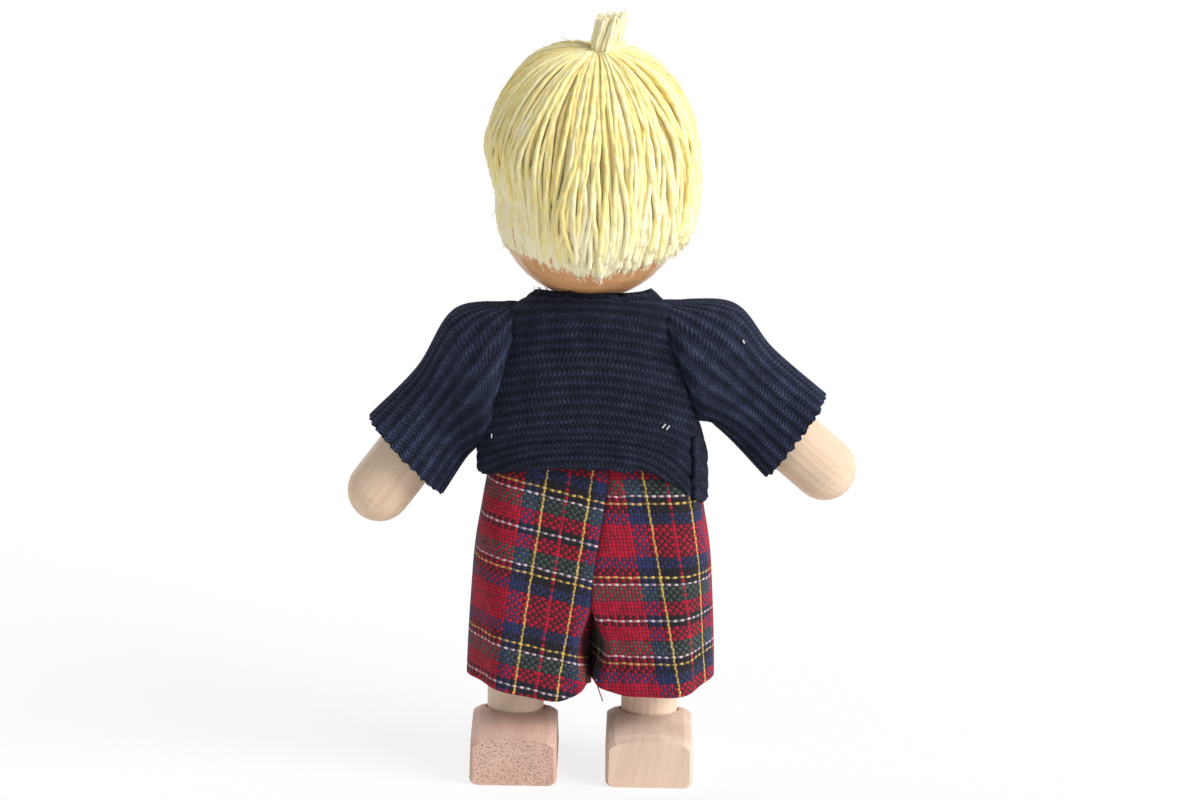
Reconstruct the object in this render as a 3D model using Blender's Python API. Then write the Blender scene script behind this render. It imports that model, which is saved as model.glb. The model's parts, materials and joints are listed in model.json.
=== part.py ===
"""A strung wooden dollhouse doll in a rib-knit sweater and tartan shorts.

Metres, +Z up. The doll faces -Y and stands on z = 0. Its left side is +X.
"""

from math import acos, atan2, copysign, cos, hypot, pi, radians, sin

import bmesh
import bpy
from mathutils import Vector

# Fits
CLEARANCE = 0.0003
CORD_CLEARANCE = 0.0002
PIN_CLEARANCE = 0.00015

# Stringing: elastic loops hooked over cross pins
CORD_RADIUS = 0.0004
PIN_RADIUS = 0.0005

# Heights and half spreads of the joints
HIP_HEIGHT = 0.035
HIP_SPREAD = 0.0095
SHOULDER_RISE = 0.0257
SHOULDER_SPREAD = 0.0131
ARM_OUT_LEFT = radians(37.0)
ARM_OUT_RIGHT = radians(50.0)
ARM_IN_LIMIT = radians(30.0)

# Limbs
ARM_RADIUS = 0.0045
ARM_REACH = 0.0265
LEG_RADIUS = 0.004
FOOT_WIDTH = 0.0122
HEEL_BACK = 0.0112
TOE_FORWARD = 0.0112
HEEL_HEIGHT = 0.0071
INSTEP_HEIGHT = 0.009
TOE_HEIGHT = 0.0042
FOOT_FLOOR = 0.0022
FOOT_CROWN = 0.0009
FOOT_ROUND = 0.0008
FOOT_CROWN_SHARES = (0.8, 0.55, 0.25)
FOOT_ROUND_DEGREES = (-90, -60, -30, 0, 30, 60)

# Torso
TORSO_LIFT = 0.002
TORSO_WALL = 0.0030
TORSO_DEPTH = 0.0132
SHOULDER_SEAT = 0.0037
COLLAR_RISE = 0.0063
COLLAR_HALF_WIDTH = 0.008
COLLAR_DEPTH = 0.010
WAIST_PIN_RISE = 0.013
NECK_PIN_DROP = 0.0045

# Head and neck
HEAD_RADIUS = 0.0131
HEAD_DOME = 0.0203
HEAD_FULLNESS = 2.5
NECK_RADIUS = 0.0035
NECK_IN_TORSO = 0.0026
NECK_IN_HEAD = 0.0048
HEAD_PIN_DEPTH = 0.0038
HEAD_POCKET_RADIUS = 0.0034

# Hair
HAIR_THICKNESS = 0.0022
HAIR_EDGE_SHARE = 0.45
HAIR_BEHIND = 0.0008
HAIR_BACK_DROP = 0.0078
HAIR_SIDE_DROP = 0.0050
FRINGE_RISE = 0.0095
WHORL_BACK = 0.0040
WHORL_RIGHT = 0.0022
HAIR_LOCKS = 20
LOCK_DEPTH = 0.0005
LOCK_TIP = 0.0006
TUFT_LENGTH = 0.0051
TUFT_RADIUS = 0.0013
TUFT_FLARE = 0.0021
TUFT_LEAN = radians(14.0)
TUFT_STRANDS = 8
TUFT_TIED_SHARE = 0.3
TUFT_OPEN_SHARE = 0.7
TUFT_TIP_SHARE = 0.08
TUFT_RIDGE_SHARE = 0.1
TIE_RADIUS = 0.00025

# Sweater
KNIT_THICKNESS = 0.0012
SWEATER_EASE = 0.0009
SWEATER_HEM_RISE = 0.0099
HEM_HALF_DEPTH = 0.0106
CHEST_HALF_DEPTH = 0.0104
YOKE_HALF_DEPTH = 0.0090
NECKLINE_RISE = 0.0075
NECKLINE_HALF_DEPTH = 0.0072
HEM_DIP = 0.0026
HEM_FLARE = 0.0012
ARMHOLE_TOP_INSET = 0.0014
ARMHOLE_TOP_RISE = 0.0066
ARMPIT_OUTSET = 0.0022
ARMPIT_DROP = 0.0128
ARMHOLE_HALF_DEPTH = 0.0068
SLEEVE_CAP_LEFT = 0.0072
SLEEVE_CAP_RIGHT = 0.0098
SLEEVE_CAP_ALONG_LEFT = -0.0008
SLEEVE_CAP_ALONG_RIGHT = 0.0020
SLEEVE_TOP_ALONG = 0.0098
SLEEVE_BOTTOM = 0.0066
SLEEVE_BOTTOM_ALONG = 0.0145
CUFF_TOP = 0.0075
CUFF_TOP_ALONG = 0.0188
CUFF_BOTTOM = 0.0061
CUFF_BOTTOM_ALONG = 0.0208
SLEEVE_HALF_DEPTH = 0.0064
CUFF_HALF_DEPTH = 0.0070

# Shorts
CLOTH_THICKNESS = 0.0009
BAND_THICKNESS = 0.0012
BAND_DEPTH_EASE = 0.0003
BAND_BOTTOM_RISE = 0.011
BAND_HEIGHT = 0.003
SHORTS_HALF_WIDTH = 0.0172
SHORTS_HALF_DEPTH = 0.0096
SHORTS_LENGTH = 0.0232
CROTCH_DROP = 0.0105
SHORTS_SIDE_LIFT = 0.0030
SHORTS_SEAM_GAP = 0.0003
SHORTS_FOLDS = 5
SHORTS_FOLD_DEPTH = 0.0005
SHORTS_FOLD_REACH = 1.2
SEAT_SHARE = 0.3

# How square the cross sections are: 2 is an ellipse
BODY_SQUARENESS = 3.0
SLEEVE_SQUARENESS = 2.6
SHORTS_SQUARENESS = 3.2
SHORTS_HEM_SQUARENESS = 2.6
SHORTS_SEAM_SQUARENESS = 14.0
SHORTS_CROTCH_SQUARENESS = 3.0

# Facets
ROUND_STEPS = 24
ARC_STEPS = 7
HEAD_STEPS = 36
HEAD_PROFILE_STEPS = 18
HAIR_OUTER_ROWS = 9
HAIR_INNER_ROWS = 8
PIN_STEPS = 12
BORE_STEPS = 16
CORD_SIDES = 6
LOOP_STEPS = 6
GARMENT_STEPS = 34
TUBE_STEPS = 28

# Worked out from the above
SHOULDER_HEIGHT = HIP_HEIGHT + SHOULDER_RISE
COLLAR_HEIGHT = SHOULDER_HEIGHT + COLLAR_RISE
HEAD_CENTRE = COLLAR_HEIGHT + CLEARANCE + HEAD_RADIUS
LOOP_RADIUS = PIN_RADIUS + CORD_CLEARANCE + CORD_RADIUS
LOOP_REACH = LOOP_RADIUS + CORD_RADIUS
BORE_RADIUS = LOOP_REACH + CLEARANCE
KERF_WIDTH = 2 * (CORD_RADIUS + CLEARANCE)
PIN_HOLE_RADIUS = PIN_RADIUS + PIN_CLEARANCE
HIP_HALF_WIDTH = HIP_SPREAD + TORSO_WALL
BAND_HALF_WIDTH = HIP_HALF_WIDTH + CLEARANCE + BAND_THICKNESS
BAND_HALF_DEPTH = TORSO_DEPTH / 2 + BAND_DEPTH_EASE + BAND_THICKNESS
BAND_BOTTOM = HIP_HEIGHT + BAND_BOTTOM_RISE
HEM_HALF_WIDTH = BAND_HALF_WIDTH + SWEATER_EASE + KNIT_THICKNESS
ARM_OUT = {1: ARM_OUT_LEFT, -1: ARM_OUT_RIGHT}
SLEEVE_CAP = {1: SLEEVE_CAP_LEFT, -1: SLEEVE_CAP_RIGHT}
SLEEVE_CAP_ALONG = {1: SLEEVE_CAP_ALONG_LEFT, -1: SLEEVE_CAP_ALONG_RIGHT}
SIDE_NAMES = {1: "left", -1: "right"}
FAR = 0.02

FINISHES = {
    "beech": ((0.74, 0.53, 0.35), 0.55, 0.0),
    "varnished_wood": ((0.52, 0.28, 0.12), 0.35, 0.0),
    "yarn": ((0.86, 0.76, 0.42), 0.9, 0.0),
    "thread": ((0.80, 0.70, 0.38), 0.8, 0.0),
    "navy_knit": ((0.012, 0.017, 0.035), 0.95, 0.0),
    "tartan": ((0.42, 0.02, 0.05), 0.9, 0.0),
    "elastic": ((0.75, 0.72, 0.66), 0.7, 0.0),
    "steel": ((0.56, 0.57, 0.58), 0.3, 1.0),
}


def clear_scene():
    for thing in list(bpy.data.objects):
        bpy.data.objects.remove(thing, do_unlink=True)


def pivot(name, location, parent=None):
    """An empty on a joint's axis, which carries the pieces that turn there."""
    empty = bpy.data.objects.new(name, None)
    empty.location = location
    empty.parent = parent
    bpy.context.collection.objects.link(empty)
    return empty


def finish_mesh(name, mesh_data, parent, finish=None):
    """An object from a bmesh, smooth shaded. With no finish it is a cutter, which only shapes others."""
    bmesh.ops.remove_doubles(mesh_data, verts=mesh_data.verts, dist=1e-6)
    bmesh.ops.recalc_face_normals(mesh_data, faces=mesh_data.faces)
    mesh = bpy.data.meshes.new(name)
    mesh_data.to_mesh(mesh)
    mesh_data.free()
    mesh.shade_smooth()
    mesh.set_sharp_from_angle(angle=radians(40))
    piece = bpy.data.objects.new(name, mesh)
    piece.parent = parent
    bpy.context.collection.objects.link(piece)
    if finish is None:
        piece.hide_render = True
        piece.display_type = "WIRE"
        return piece
    colour, roughness, metallic = FINISHES[finish]
    material = bpy.data.materials.new(f"{name}_{finish}")
    material.use_nodes = True
    shader = material.node_tree.nodes["Principled BSDF"]
    shader.inputs["Base Color"].default_value = (*colour, 1.0)
    shader.inputs["Roughness"].default_value = roughness
    shader.inputs["Metallic"].default_value = metallic
    mesh.materials.append(material)
    return piece


def cut(piece, *cutters):
    for cutter in cutters:
        modifier = piece.modifiers.new(f"cut_{cutter.name}", "BOOLEAN")
        modifier.operation = "DIFFERENCE"
        modifier.solver = "EXACT"
        modifier.object = cutter


def turned(name, profile, parent, finish=None, axis="Z", start=(0, 0, 0), steps=ROUND_STEPS, ring=False):
    """A turned piece from (radius, height) points. The profile of a ring, with a hole through, is closed."""
    mesh_data = bmesh.new()
    # A cutter starts a quarter facet round, so that its edges never lie in line with those of what it cuts.
    begin = 0 if finish else pi / 2 / steps
    points = [mesh_data.verts.new((r * cos(begin), r * sin(begin), height)) for r, height in profile]
    pairs = list(zip(points, points[1:]))
    if ring:
        pairs.append((points[-1], points[0]))
    edges = [mesh_data.edges.new(pair) for pair in pairs]
    bmesh.ops.spin(
        mesh_data, geom=points + edges, axis=(0, 0, 1), cent=(0, 0, 0), angle=2 * pi, steps=steps
    )
    turn = {"X": (0, 0, 1), "Y": (1, 0, 0), "Z": (0, 1, 0)}
    across = {"X": (0, 1, 0), "Y": (0, 0, 1), "Z": (1, 0, 0)}
    first, second = Vector(across[axis]), Vector(turn[axis])
    along = Vector({"X": (1, 0, 0), "Y": (0, 1, 0), "Z": (0, 0, 1)}[axis])
    for point in mesh_data.verts:
        x, y, z = point.co
        point.co = Vector(start) + x * first + y * second + z * along
    return finish_mesh(name, mesh_data, parent, finish)


def rod(name, radius, low, high, parent, finish=None, **options):
    return turned(name, [(0, low), (radius, low), (radius, high), (0, high)], parent, finish, **options)


def arc(radius, centre, first, last, steps):
    """(radius, height) points of an arc about the turning axis, angles from the equator."""
    angles = [first + (last - first) * i / steps for i in range(steps + 1)]
    return [(max(radius * cos(angle), 0), centre + radius * sin(angle)) for angle in angles]


def loft(name, rings, parent, finish=None, closed=False):
    """Faces between rings of equal length. Closed, the last ring joins the first; else both ends get lids."""
    mesh_data = bmesh.new()
    loops = [[mesh_data.verts.new(point) for point in ring] for ring in rings]
    pairs = list(zip(loops, loops[1:]))
    if closed:
        pairs.append((loops[-1], loops[0]))
    else:
        mesh_data.faces.new(loops[0])
        mesh_data.faces.new(loops[-1])
    for below, above in pairs:
        size = len(below)
        for i in range(size):
            j = (i + 1) % size
            mesh_data.faces.new((below[i], below[j], above[j], above[i]))
    return finish_mesh(name, mesh_data, parent, finish)


def box(name, low, high, parent):
    corners = [(0, 0), (1, 0), (1, 1), (0, 1)]
    ends = (low, high)
    rings = [[(ends[i][0], ends[j][1], end[2]) for i, j in corners] for end in ends]
    return loft(name, rings, parent)


def smooth(stations, steps):
    """Points on a smooth curve through the stations, with this many steps in each span."""
    last = len(stations) - 1
    points = []
    for i in range(last):
        four = [stations[min(max(k, 0), last)] for k in range(i - 1, i + 3)]
        for j in range(steps):
            t = j / steps
            points.append(
                tuple(
                    q + 0.5 * t * (r - p + t * (2 * p - 5 * q + 4 * r - s + t * (3 * (q - r) + s - p)))
                    for p, q, r, s in zip(*four)
                )
            )
    points.append(tuple(stations[-1]))
    return points


def signed_power(value, power):
    return copysign(abs(value) ** power, value)


def oval(half_width, half_depth, squareness, count=GARMENT_STEPS):
    """Points of a superellipse with their angles, anticlockwise from +X."""
    power = 2 / squareness
    turns = [2 * pi * i / count for i in range(count)]
    return [
        (half_width * signed_power(cos(t), power), half_depth * signed_power(sin(t), power), t) for t in turns
    ]


def ease(value):
    value = min(max(value, 0), 1)
    return value * value * (3 - 2 * value)


def blend(first, second, share):
    return first + (second - first) * share


def elastic(name, start, end, normal, parent):
    """An elastic loop round two pins, which lie along the normal."""
    start, end, normal = Vector(start), Vector(end), Vector(normal)
    along = (end - start).normalized()
    across = normal.cross(along)
    path = []
    for centre, way in ((end, 1), (start, -1)):
        for i in range(LOOP_STEPS + 1):
            angle = pi * i / LOOP_STEPS
            outward = way * (across * cos(angle) + along * sin(angle))
            path.append((centre + LOOP_RADIUS * outward, outward))
    rings = []
    for centre, outward in path:
        turns = [2 * pi * i / CORD_SIDES for i in range(CORD_SIDES)]
        rings.append([centre + CORD_RADIUS * (outward * cos(t) + normal * sin(t)) for t in turns])
    return loft(name, rings, parent, "elastic", closed=True)


def pin(name, half, axis, parent, start=(0, 0, 0)):
    return rod(name, PIN_RADIUS, -half, half, parent, "steel", axis=axis, start=start, steps=PIN_STEPS)


def pin_hole(name, half, axis, parent, start=(0, 0, 0)):
    return rod(name, PIN_HOLE_RADIUS, -half, half, parent, axis=axis, start=start, steps=PIN_STEPS)


def head_radius_along(direction):
    """Distance from the head's centre to its surface: a ball below, a fuller dome above."""
    if direction.z <= 0:
        return HEAD_RADIUS
    level = hypot(direction.x, direction.y) / HEAD_RADIUS
    rise = direction.z / HEAD_DOME
    return (level**HEAD_FULLNESS + rise**HEAD_FULLNESS) ** (-1 / HEAD_FULLNESS)


def head_profile_point(angle):
    direction = Vector((cos(angle), 0, sin(angle)))
    radius = head_radius_along(direction)
    return radius * direction.x, radius * direction.z


def head(parent):
    """Turned egg with a bore for the neck loop, a socket for the neck and a pocket for the crown pin."""
    socket = NECK_RADIUS + CLEARANCE
    lowest = -acos(socket / HEAD_RADIUS)
    highest = pi / 2
    while head_profile_point(highest)[0] < HEAD_POCKET_RADIUS:
        highest -= 0.01
    step = (highest - lowest) / HEAD_PROFILE_STEPS
    outside = [head_profile_point(lowest + step * i) for i in range(HEAD_PROFILE_STEPS + 1)]
    pocket = HEAD_DOME - HEAD_PIN_DEPTH - PIN_RADIUS - CLEARANCE
    socket_top = NECK_IN_HEAD + CLEARANCE - HEAD_RADIUS
    inside = [
        (outside[-1][0], pocket),
        (BORE_RADIUS, pocket),
        (BORE_RADIUS, socket_top),
        (socket, socket_top),
    ]
    turned("head", outside + inside, parent, "varnished_wood", steps=HEAD_STEPS, ring=True)
    pin("head_pin", HEAD_POCKET_RADIUS - CLEARANCE, "X", parent, (0, 0, HEAD_DOME - HEAD_PIN_DEPTH))


def hair_edge(direction):
    """Height of the hair's cut edge above the head's centre, in a direction seen from above."""
    towards_back = direction.y / max(hypot(direction.x, direction.y), 1e-9)
    if towards_back > 0:
        return -HAIR_SIDE_DROP - (HAIR_BACK_DROP - HAIR_SIDE_DROP) * towards_back**2
    return -HAIR_SIDE_DROP + (FRINGE_RISE + HAIR_SIDE_DROP) * ease(-towards_back)


def hair_axes():
    """The whorl's direction from the head's centre, and two directions square to it."""
    whorl = Vector((-WHORL_RIGHT, WHORL_BACK, HEAD_DOME)).normalized()
    first = Vector((0, 0, 1)).cross(whorl).normalized()
    return whorl, first, whorl.cross(first)


def hair(parent):
    """A cap of yarn combed out from the whorl, its outside in shallow locks, its edge in their tips."""
    whorl, first, second = hair_axes()
    columns = HAIR_LOCKS * 3

    def direction(turn, polar):
        return whorl * cos(polar) + (first * cos(turn) + second * sin(turn)) * sin(polar)

    def edge_polar(turn):
        low, high = 0.1, pi
        for _ in range(30):
            middle = (low + high) / 2
            way = direction(turn, middle)
            if way.z * head_radius_along(way) > hair_edge(way):
                low = middle
            else:
                high = middle
        return low

    turns = [2 * pi * i / columns for i in range(columns)]
    edges = [edge_polar(turn) for turn in turns]
    tips = [LOCK_TIP / HEAD_RADIUS * cos(HAIR_LOCKS * turn) for turn in turns]

    def row(share, outside):
        points = []
        for turn, edge, tip in zip(turns, edges, tips):
            way = direction(turn, (edge + tip * share**4) * share)
            reach = head_radius_along(way) + CLEARANCE
            if outside:
                lock = LOCK_DEPTH * 0.5 * (1 + cos(HAIR_LOCKS * turn)) * ease(2 * share)
                reach += HAIR_THICKNESS * (1 - (1 - HAIR_EDGE_SHARE) * share**2) - LOCK_DEPTH + lock
            points.append(way * reach)
        return points

    mesh_data = bmesh.new()
    crown_reach = head_radius_along(whorl) + CLEARANCE
    poles = [mesh_data.verts.new(whorl * (crown_reach + HAIR_THICKNESS - LOCK_DEPTH))]
    rows = [row(i / HAIR_OUTER_ROWS, True) for i in range(1, HAIR_OUTER_ROWS + 1)]
    rows += [row(i / HAIR_INNER_ROWS, False) for i in range(HAIR_INNER_ROWS, 0, -1)]
    loops = [[mesh_data.verts.new(point) for point in points] for points in rows]
    poles.append(mesh_data.verts.new(whorl * crown_reach))
    for i in range(columns):
        j = (i + 1) % columns
        mesh_data.faces.new((poles[0], loops[0][i], loops[0][j]))
        mesh_data.faces.new((poles[1], loops[-1][j], loops[-1][i]))
        for above, below in zip(loops, loops[1:]):
            mesh_data.faces.new((above[i], above[j], below[j], below[i]))
    finish_mesh("hair", mesh_data, parent, "yarn")


def tuft(parent):
    """The yarn ends that stand up at the whorl, and the thread that ties them at their foot."""
    whorl = hair_axes()[0]
    foot = whorl * (head_radius_along(whorl) + HAIR_THICKNESS + 2 * CLEARANCE)
    lean = (Vector((0, 0, 1)) * cos(TUFT_LEAN) + Vector((-1, 0, 0)) * sin(TUFT_LEAN)).normalized()
    across = lean.cross(Vector((0, 1, 0))).normalized()
    away = lean.cross(across)
    columns = TUFT_STRANDS * 3
    stations = [
        (0, TUFT_RADIUS),
        (TUFT_TIED_SHARE, TUFT_RADIUS),
        (TUFT_OPEN_SHARE, TUFT_FLARE),
        (1, TUFT_FLARE),
    ]
    rings = []
    for share, radius in smooth(stations, 2):
        ring = []
        for i in range(columns):
            turn = 2 * pi * i / columns
            wave = cos(TUFT_STRANDS * turn) * share
            tip = 1 + TUFT_TIP_SHARE * wave
            ridge = 1 + TUFT_RIDGE_SHARE * wave
            side = across * cos(turn) + away * sin(turn)
            ring.append(foot + lean * (TUFT_LENGTH * share * tip) + side * (radius * ridge))
        rings.append(ring)
    loft("hair_tuft", rings, parent, "yarn")

    wound = TUFT_RADIUS + CLEARANCE + TIE_RADIUS
    middle = foot + lean * (CLEARANCE + TIE_RADIUS)
    rings = []
    for i in range(PIN_STEPS):
        turn = 2 * pi * i / PIN_STEPS
        side = across * cos(turn) + away * sin(turn)
        ring = []
        for k in range(CORD_SIDES):
            angle = 2 * pi * k / CORD_SIDES
            ring.append(middle + side * (wound + TIE_RADIUS * cos(angle)) + lean * (TIE_RADIUS * sin(angle)))
        rings.append(ring)
    loft("hair_tie", rings, parent, "thread", closed=True)


def torso_stations(grow=0.0):
    """(height, half width, half depth) of the wooden body, grown by a clearance where asked."""
    bottom = HIP_HEIGHT + TORSO_LIFT
    waist = HIP_HEIGHT + WAIST_PIN_RISE + BORE_RADIUS
    shoulder = SHOULDER_SPREAD - SHOULDER_SEAT
    half_depth = TORSO_DEPTH / 2
    stations = [
        (bottom, HIP_HALF_WIDTH, half_depth),
        ((bottom + waist) / 2, HIP_HALF_WIDTH, half_depth),
        (waist, HIP_HALF_WIDTH, half_depth),
        (SHOULDER_HEIGHT - ARM_RADIUS, shoulder, half_depth),
        (SHOULDER_HEIGHT + COLLAR_RISE / 2, shoulder, (half_depth + COLLAR_DEPTH / 2) / 2),
        (COLLAR_HEIGHT, COLLAR_HALF_WIDTH, COLLAR_DEPTH / 2),
    ]
    return [(z, half_width + grow, depth + grow) for z, half_width, depth in stations]


def torso_rings(grow=0.0):
    rings = []
    for z, half_width, half_depth in smooth(torso_stations(grow), 2):
        rings.append([(x, y, z) for x, y, _ in oval(half_width, half_depth, BODY_SQUARENESS, TUBE_STEPS)])
    return rings


def arm_sweep(side, parent):
    """All the room that an arm takes up as it swings and lifts, turned about the shoulder's swing axis."""
    reach = ARM_RADIUS + CLEARANCE
    slope = pi / 2 - ARM_IN_LIMIT
    across = Vector((-sin(slope), cos(slope)))
    along = Vector((cos(slope), sin(slope)))
    ball = []
    for i in range(LOOP_STEPS + 1):
        angle = pi - (pi / 2 - slope) * i / LOOP_STEPS
        ball.append(reach * Vector((cos(angle), sin(angle))))
    end = across * reach + along * (ARM_REACH + ARM_RADIUS)
    profile = [(0, ball[0].x)] + [(point.y, point.x) for point in ball[1:]] + [(end.y, end.x), (0, end.x)]
    if side < 0:
        profile = [(radius, -x) for radius, x in profile]
    shoulder = (side * SHOULDER_SPREAD, 0, SHOULDER_HEIGHT)
    return turned(f"arm_sweep_{SIDE_NAMES[side]}", profile, parent, axis="X", start=shoulder)


def torso(parent, sweeps):
    """Wooden block with dished shoulders, hip seats open to the front, and the bores for the elastic."""
    block = loft("torso", torso_rings(), parent, "beech")
    seat = LEG_RADIUS + CLEARANCE
    waist = HIP_HEIGHT + WAIST_PIN_RISE
    neck_foot = COLLAR_HEIGHT - NECK_IN_TORSO - CLEARANCE
    neck_pin_height = SHOULDER_HEIGHT - NECK_PIN_DROP
    wide_bore = BORE_RADIUS + CLEARANCE
    neck_bore = turned(
        "neck_bore",
        [
            (0, neck_pin_height - wide_bore),
            (wide_bore, neck_pin_height - wide_bore),
            (wide_bore, neck_foot),
            (NECK_RADIUS + CLEARANCE, neck_foot),
            (NECK_RADIUS + CLEARANCE, COLLAR_HEIGHT + FAR),
            (0, COLLAR_HEIGHT + FAR),
        ],
        parent,
    )
    between = (0, 0, SHOULDER_HEIGHT)
    arm_bore = rod("arm_bore", BORE_RADIUS, -FAR, FAR, parent, axis="X", start=between, steps=BORE_STEPS)
    waist_hole = pin_hole("waist_hole", HIP_HALF_WIDTH + CLEARANCE, "X", parent, (0, 0, waist))
    neck_hole = pin_hole("neck_hole", FAR, "X", parent, (0, 0, neck_pin_height))
    cut(block, neck_bore, arm_bore, waist_hole, neck_hole, *sweeps)
    for side, name in SIDE_NAMES.items():
        hip = (side * HIP_SPREAD, 0, HIP_HEIGHT)
        channel = [(0, -FAR), (seat, -FAR)] + arc(seat, 0, 0, pi / 2, ARC_STEPS + 1)
        hip_seat = turned(f"hip_seat_{name}", channel, parent, axis="Y", start=hip)
        rise = WAIST_PIN_RISE + BORE_RADIUS
        leg_bore = rod(f"leg_bore_{name}", BORE_RADIUS, 0, rise, parent, start=hip, steps=BORE_STEPS)
        cut(block, hip_seat, leg_bore)
        elastic(f"leg_elastic_{name}", hip, (hip[0], 0, waist), (1, 0, 0), parent)
    pin("waist_pin", HIP_HALF_WIDTH - CLEARANCE, "X", parent, (0, 0, waist))
    pin("neck_pin", SHOULDER_SPREAD - SHOULDER_SEAT - CLEARANCE, "X", parent, (0, 0, neck_pin_height))
    shoulders = [(side * SHOULDER_SPREAD, 0, SHOULDER_HEIGHT) for side in (-1, 1)]
    elastic("arm_elastic", shoulders[0], shoulders[1], (0, 1, 0), parent)
    crown_pin_height = HEAD_CENTRE + HEAD_DOME - HEAD_PIN_DEPTH
    elastic("neck_elastic", (0, 0, neck_pin_height), (0, 0, crown_pin_height), (1, 0, 0), parent)


def neck(parent):
    low = COLLAR_HEIGHT - NECK_IN_TORSO
    high = HEAD_CENTRE - HEAD_RADIUS + NECK_IN_HEAD
    profile = [(NECK_RADIUS, low), (NECK_RADIUS, high), (BORE_RADIUS, high), (BORE_RADIUS, low)]
    turned("neck", profile, parent, "beech", ring=True)


def arm(side, parent):
    """Dowel with a round hand, slotted at the shoulder for the elastic and cross drilled for its pin."""
    name = SIDE_NAMES[side]
    profile = arc(ARM_RADIUS, -ARM_REACH, -pi / 2, 0, ARC_STEPS) + arc(ARM_RADIUS, 0, 0, pi / 2, ARC_STEPS)
    dowel = turned(f"arm_{name}", profile, parent, "beech")
    kerf = box(
        f"arm_kerf_{name}",
        (-FAR, -KERF_WIDTH / 2, -LOOP_REACH - CLEARANCE),
        (FAR, KERF_WIDTH / 2, FAR),
        parent,
    )
    hole = pin_hole(f"arm_hole_{name}", FAR, "Y", parent)
    cut(dowel, kerf, hole)
    for piece in (dowel, kerf, hole):
        piece.rotation_euler = (0, -side * ARM_OUT[side], 0)
    pin(f"arm_pin_{name}", ARM_RADIUS - CLEARANCE, "Y", parent)


def foot_section(half_width, height, y):
    """One cross section of the loaf-shaped foot: flat sole, rounded corners, crowned top."""
    shoulder = height - FOOT_CROWN - FOOT_ROUND
    inner = half_width - FOOT_ROUND
    right = []
    for angle in (radians(degrees) for degrees in FOOT_ROUND_DEGREES):
        level = FOOT_ROUND if angle <= 0 else shoulder
        right.append((inner + FOOT_ROUND * cos(angle), level + FOOT_ROUND * sin(angle)))
    for share in FOOT_CROWN_SHARES:
        right.append((half_width * share, height - FOOT_CROWN * share**2))
    left = [(-x, z) for x, z in reversed(right)]
    return [(x, y, z) for x, z in right + left]


def foot(side, parent):
    """Wooden block under the leg, highest at the ankle, with a blind hole for the dowel."""
    name = SIDE_NAMES[side]
    half = FOOT_WIDTH / 2
    quarter = (HEEL_BACK + TOE_FORWARD) / 4
    stations = [
        (HEEL_BACK, HEEL_HEIGHT),
        (HEEL_BACK - quarter, (HEEL_HEIGHT + 2 * INSTEP_HEIGHT) / 3),
        (HEEL_BACK - 2 * quarter, INSTEP_HEIGHT),
        (HEEL_BACK - 3 * quarter, (TOE_HEIGHT + 2 * INSTEP_HEIGHT) / 3),
        (-TOE_FORWARD, TOE_HEIGHT),
    ]
    profile = smooth(stations, 3)
    rings = [foot_section(half, height, y) for y, height in profile[1:-1]]
    for index, way in ((0, -1), (-1, 1)):
        y, height = profile[index]
        eased = foot_section(half, height, y + way * FOOT_ROUND)
        end = foot_section(half - FOOT_ROUND / 2, height - FOOT_ROUND / 2, y)
        if index == 0:
            rings = [end, eased] + rings
        else:
            rings += [eased, end]
    rings = [[(x, y, z - HIP_HEIGHT) for x, y, z in ring] for ring in rings]
    block = loft(f"foot_{name}", rings, parent, "beech")
    hole = rod(f"foot_hole_{name}", LEG_RADIUS + CLEARANCE, FOOT_FLOOR - HIP_HEIGHT, 0, parent)
    cut(block, hole)


def leg(side, parent):
    """Dowel let into the foot, slotted at the hip for the elastic and cross drilled for its pin."""
    name = SIDE_NAMES[side]
    bottom = FOOT_FLOOR + CLEARANCE - HIP_HEIGHT
    profile = [(0, bottom), (LEG_RADIUS, bottom)] + arc(LEG_RADIUS, 0, 0, pi / 2, ARC_STEPS)
    dowel = turned(f"leg_{name}", profile, parent, "beech")
    kerf = box(
        f"leg_kerf_{name}",
        (-KERF_WIDTH / 2, -FAR, -LOOP_REACH - CLEARANCE),
        (KERF_WIDTH / 2, FAR, FAR),
        parent,
    )
    hole = pin_hole(f"leg_hole_{name}", FAR, "X", parent)
    cut(dowel, kerf, hole)
    pin(f"hip_pin_{name}", LEG_RADIUS - CLEARANCE, "X", parent)


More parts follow.
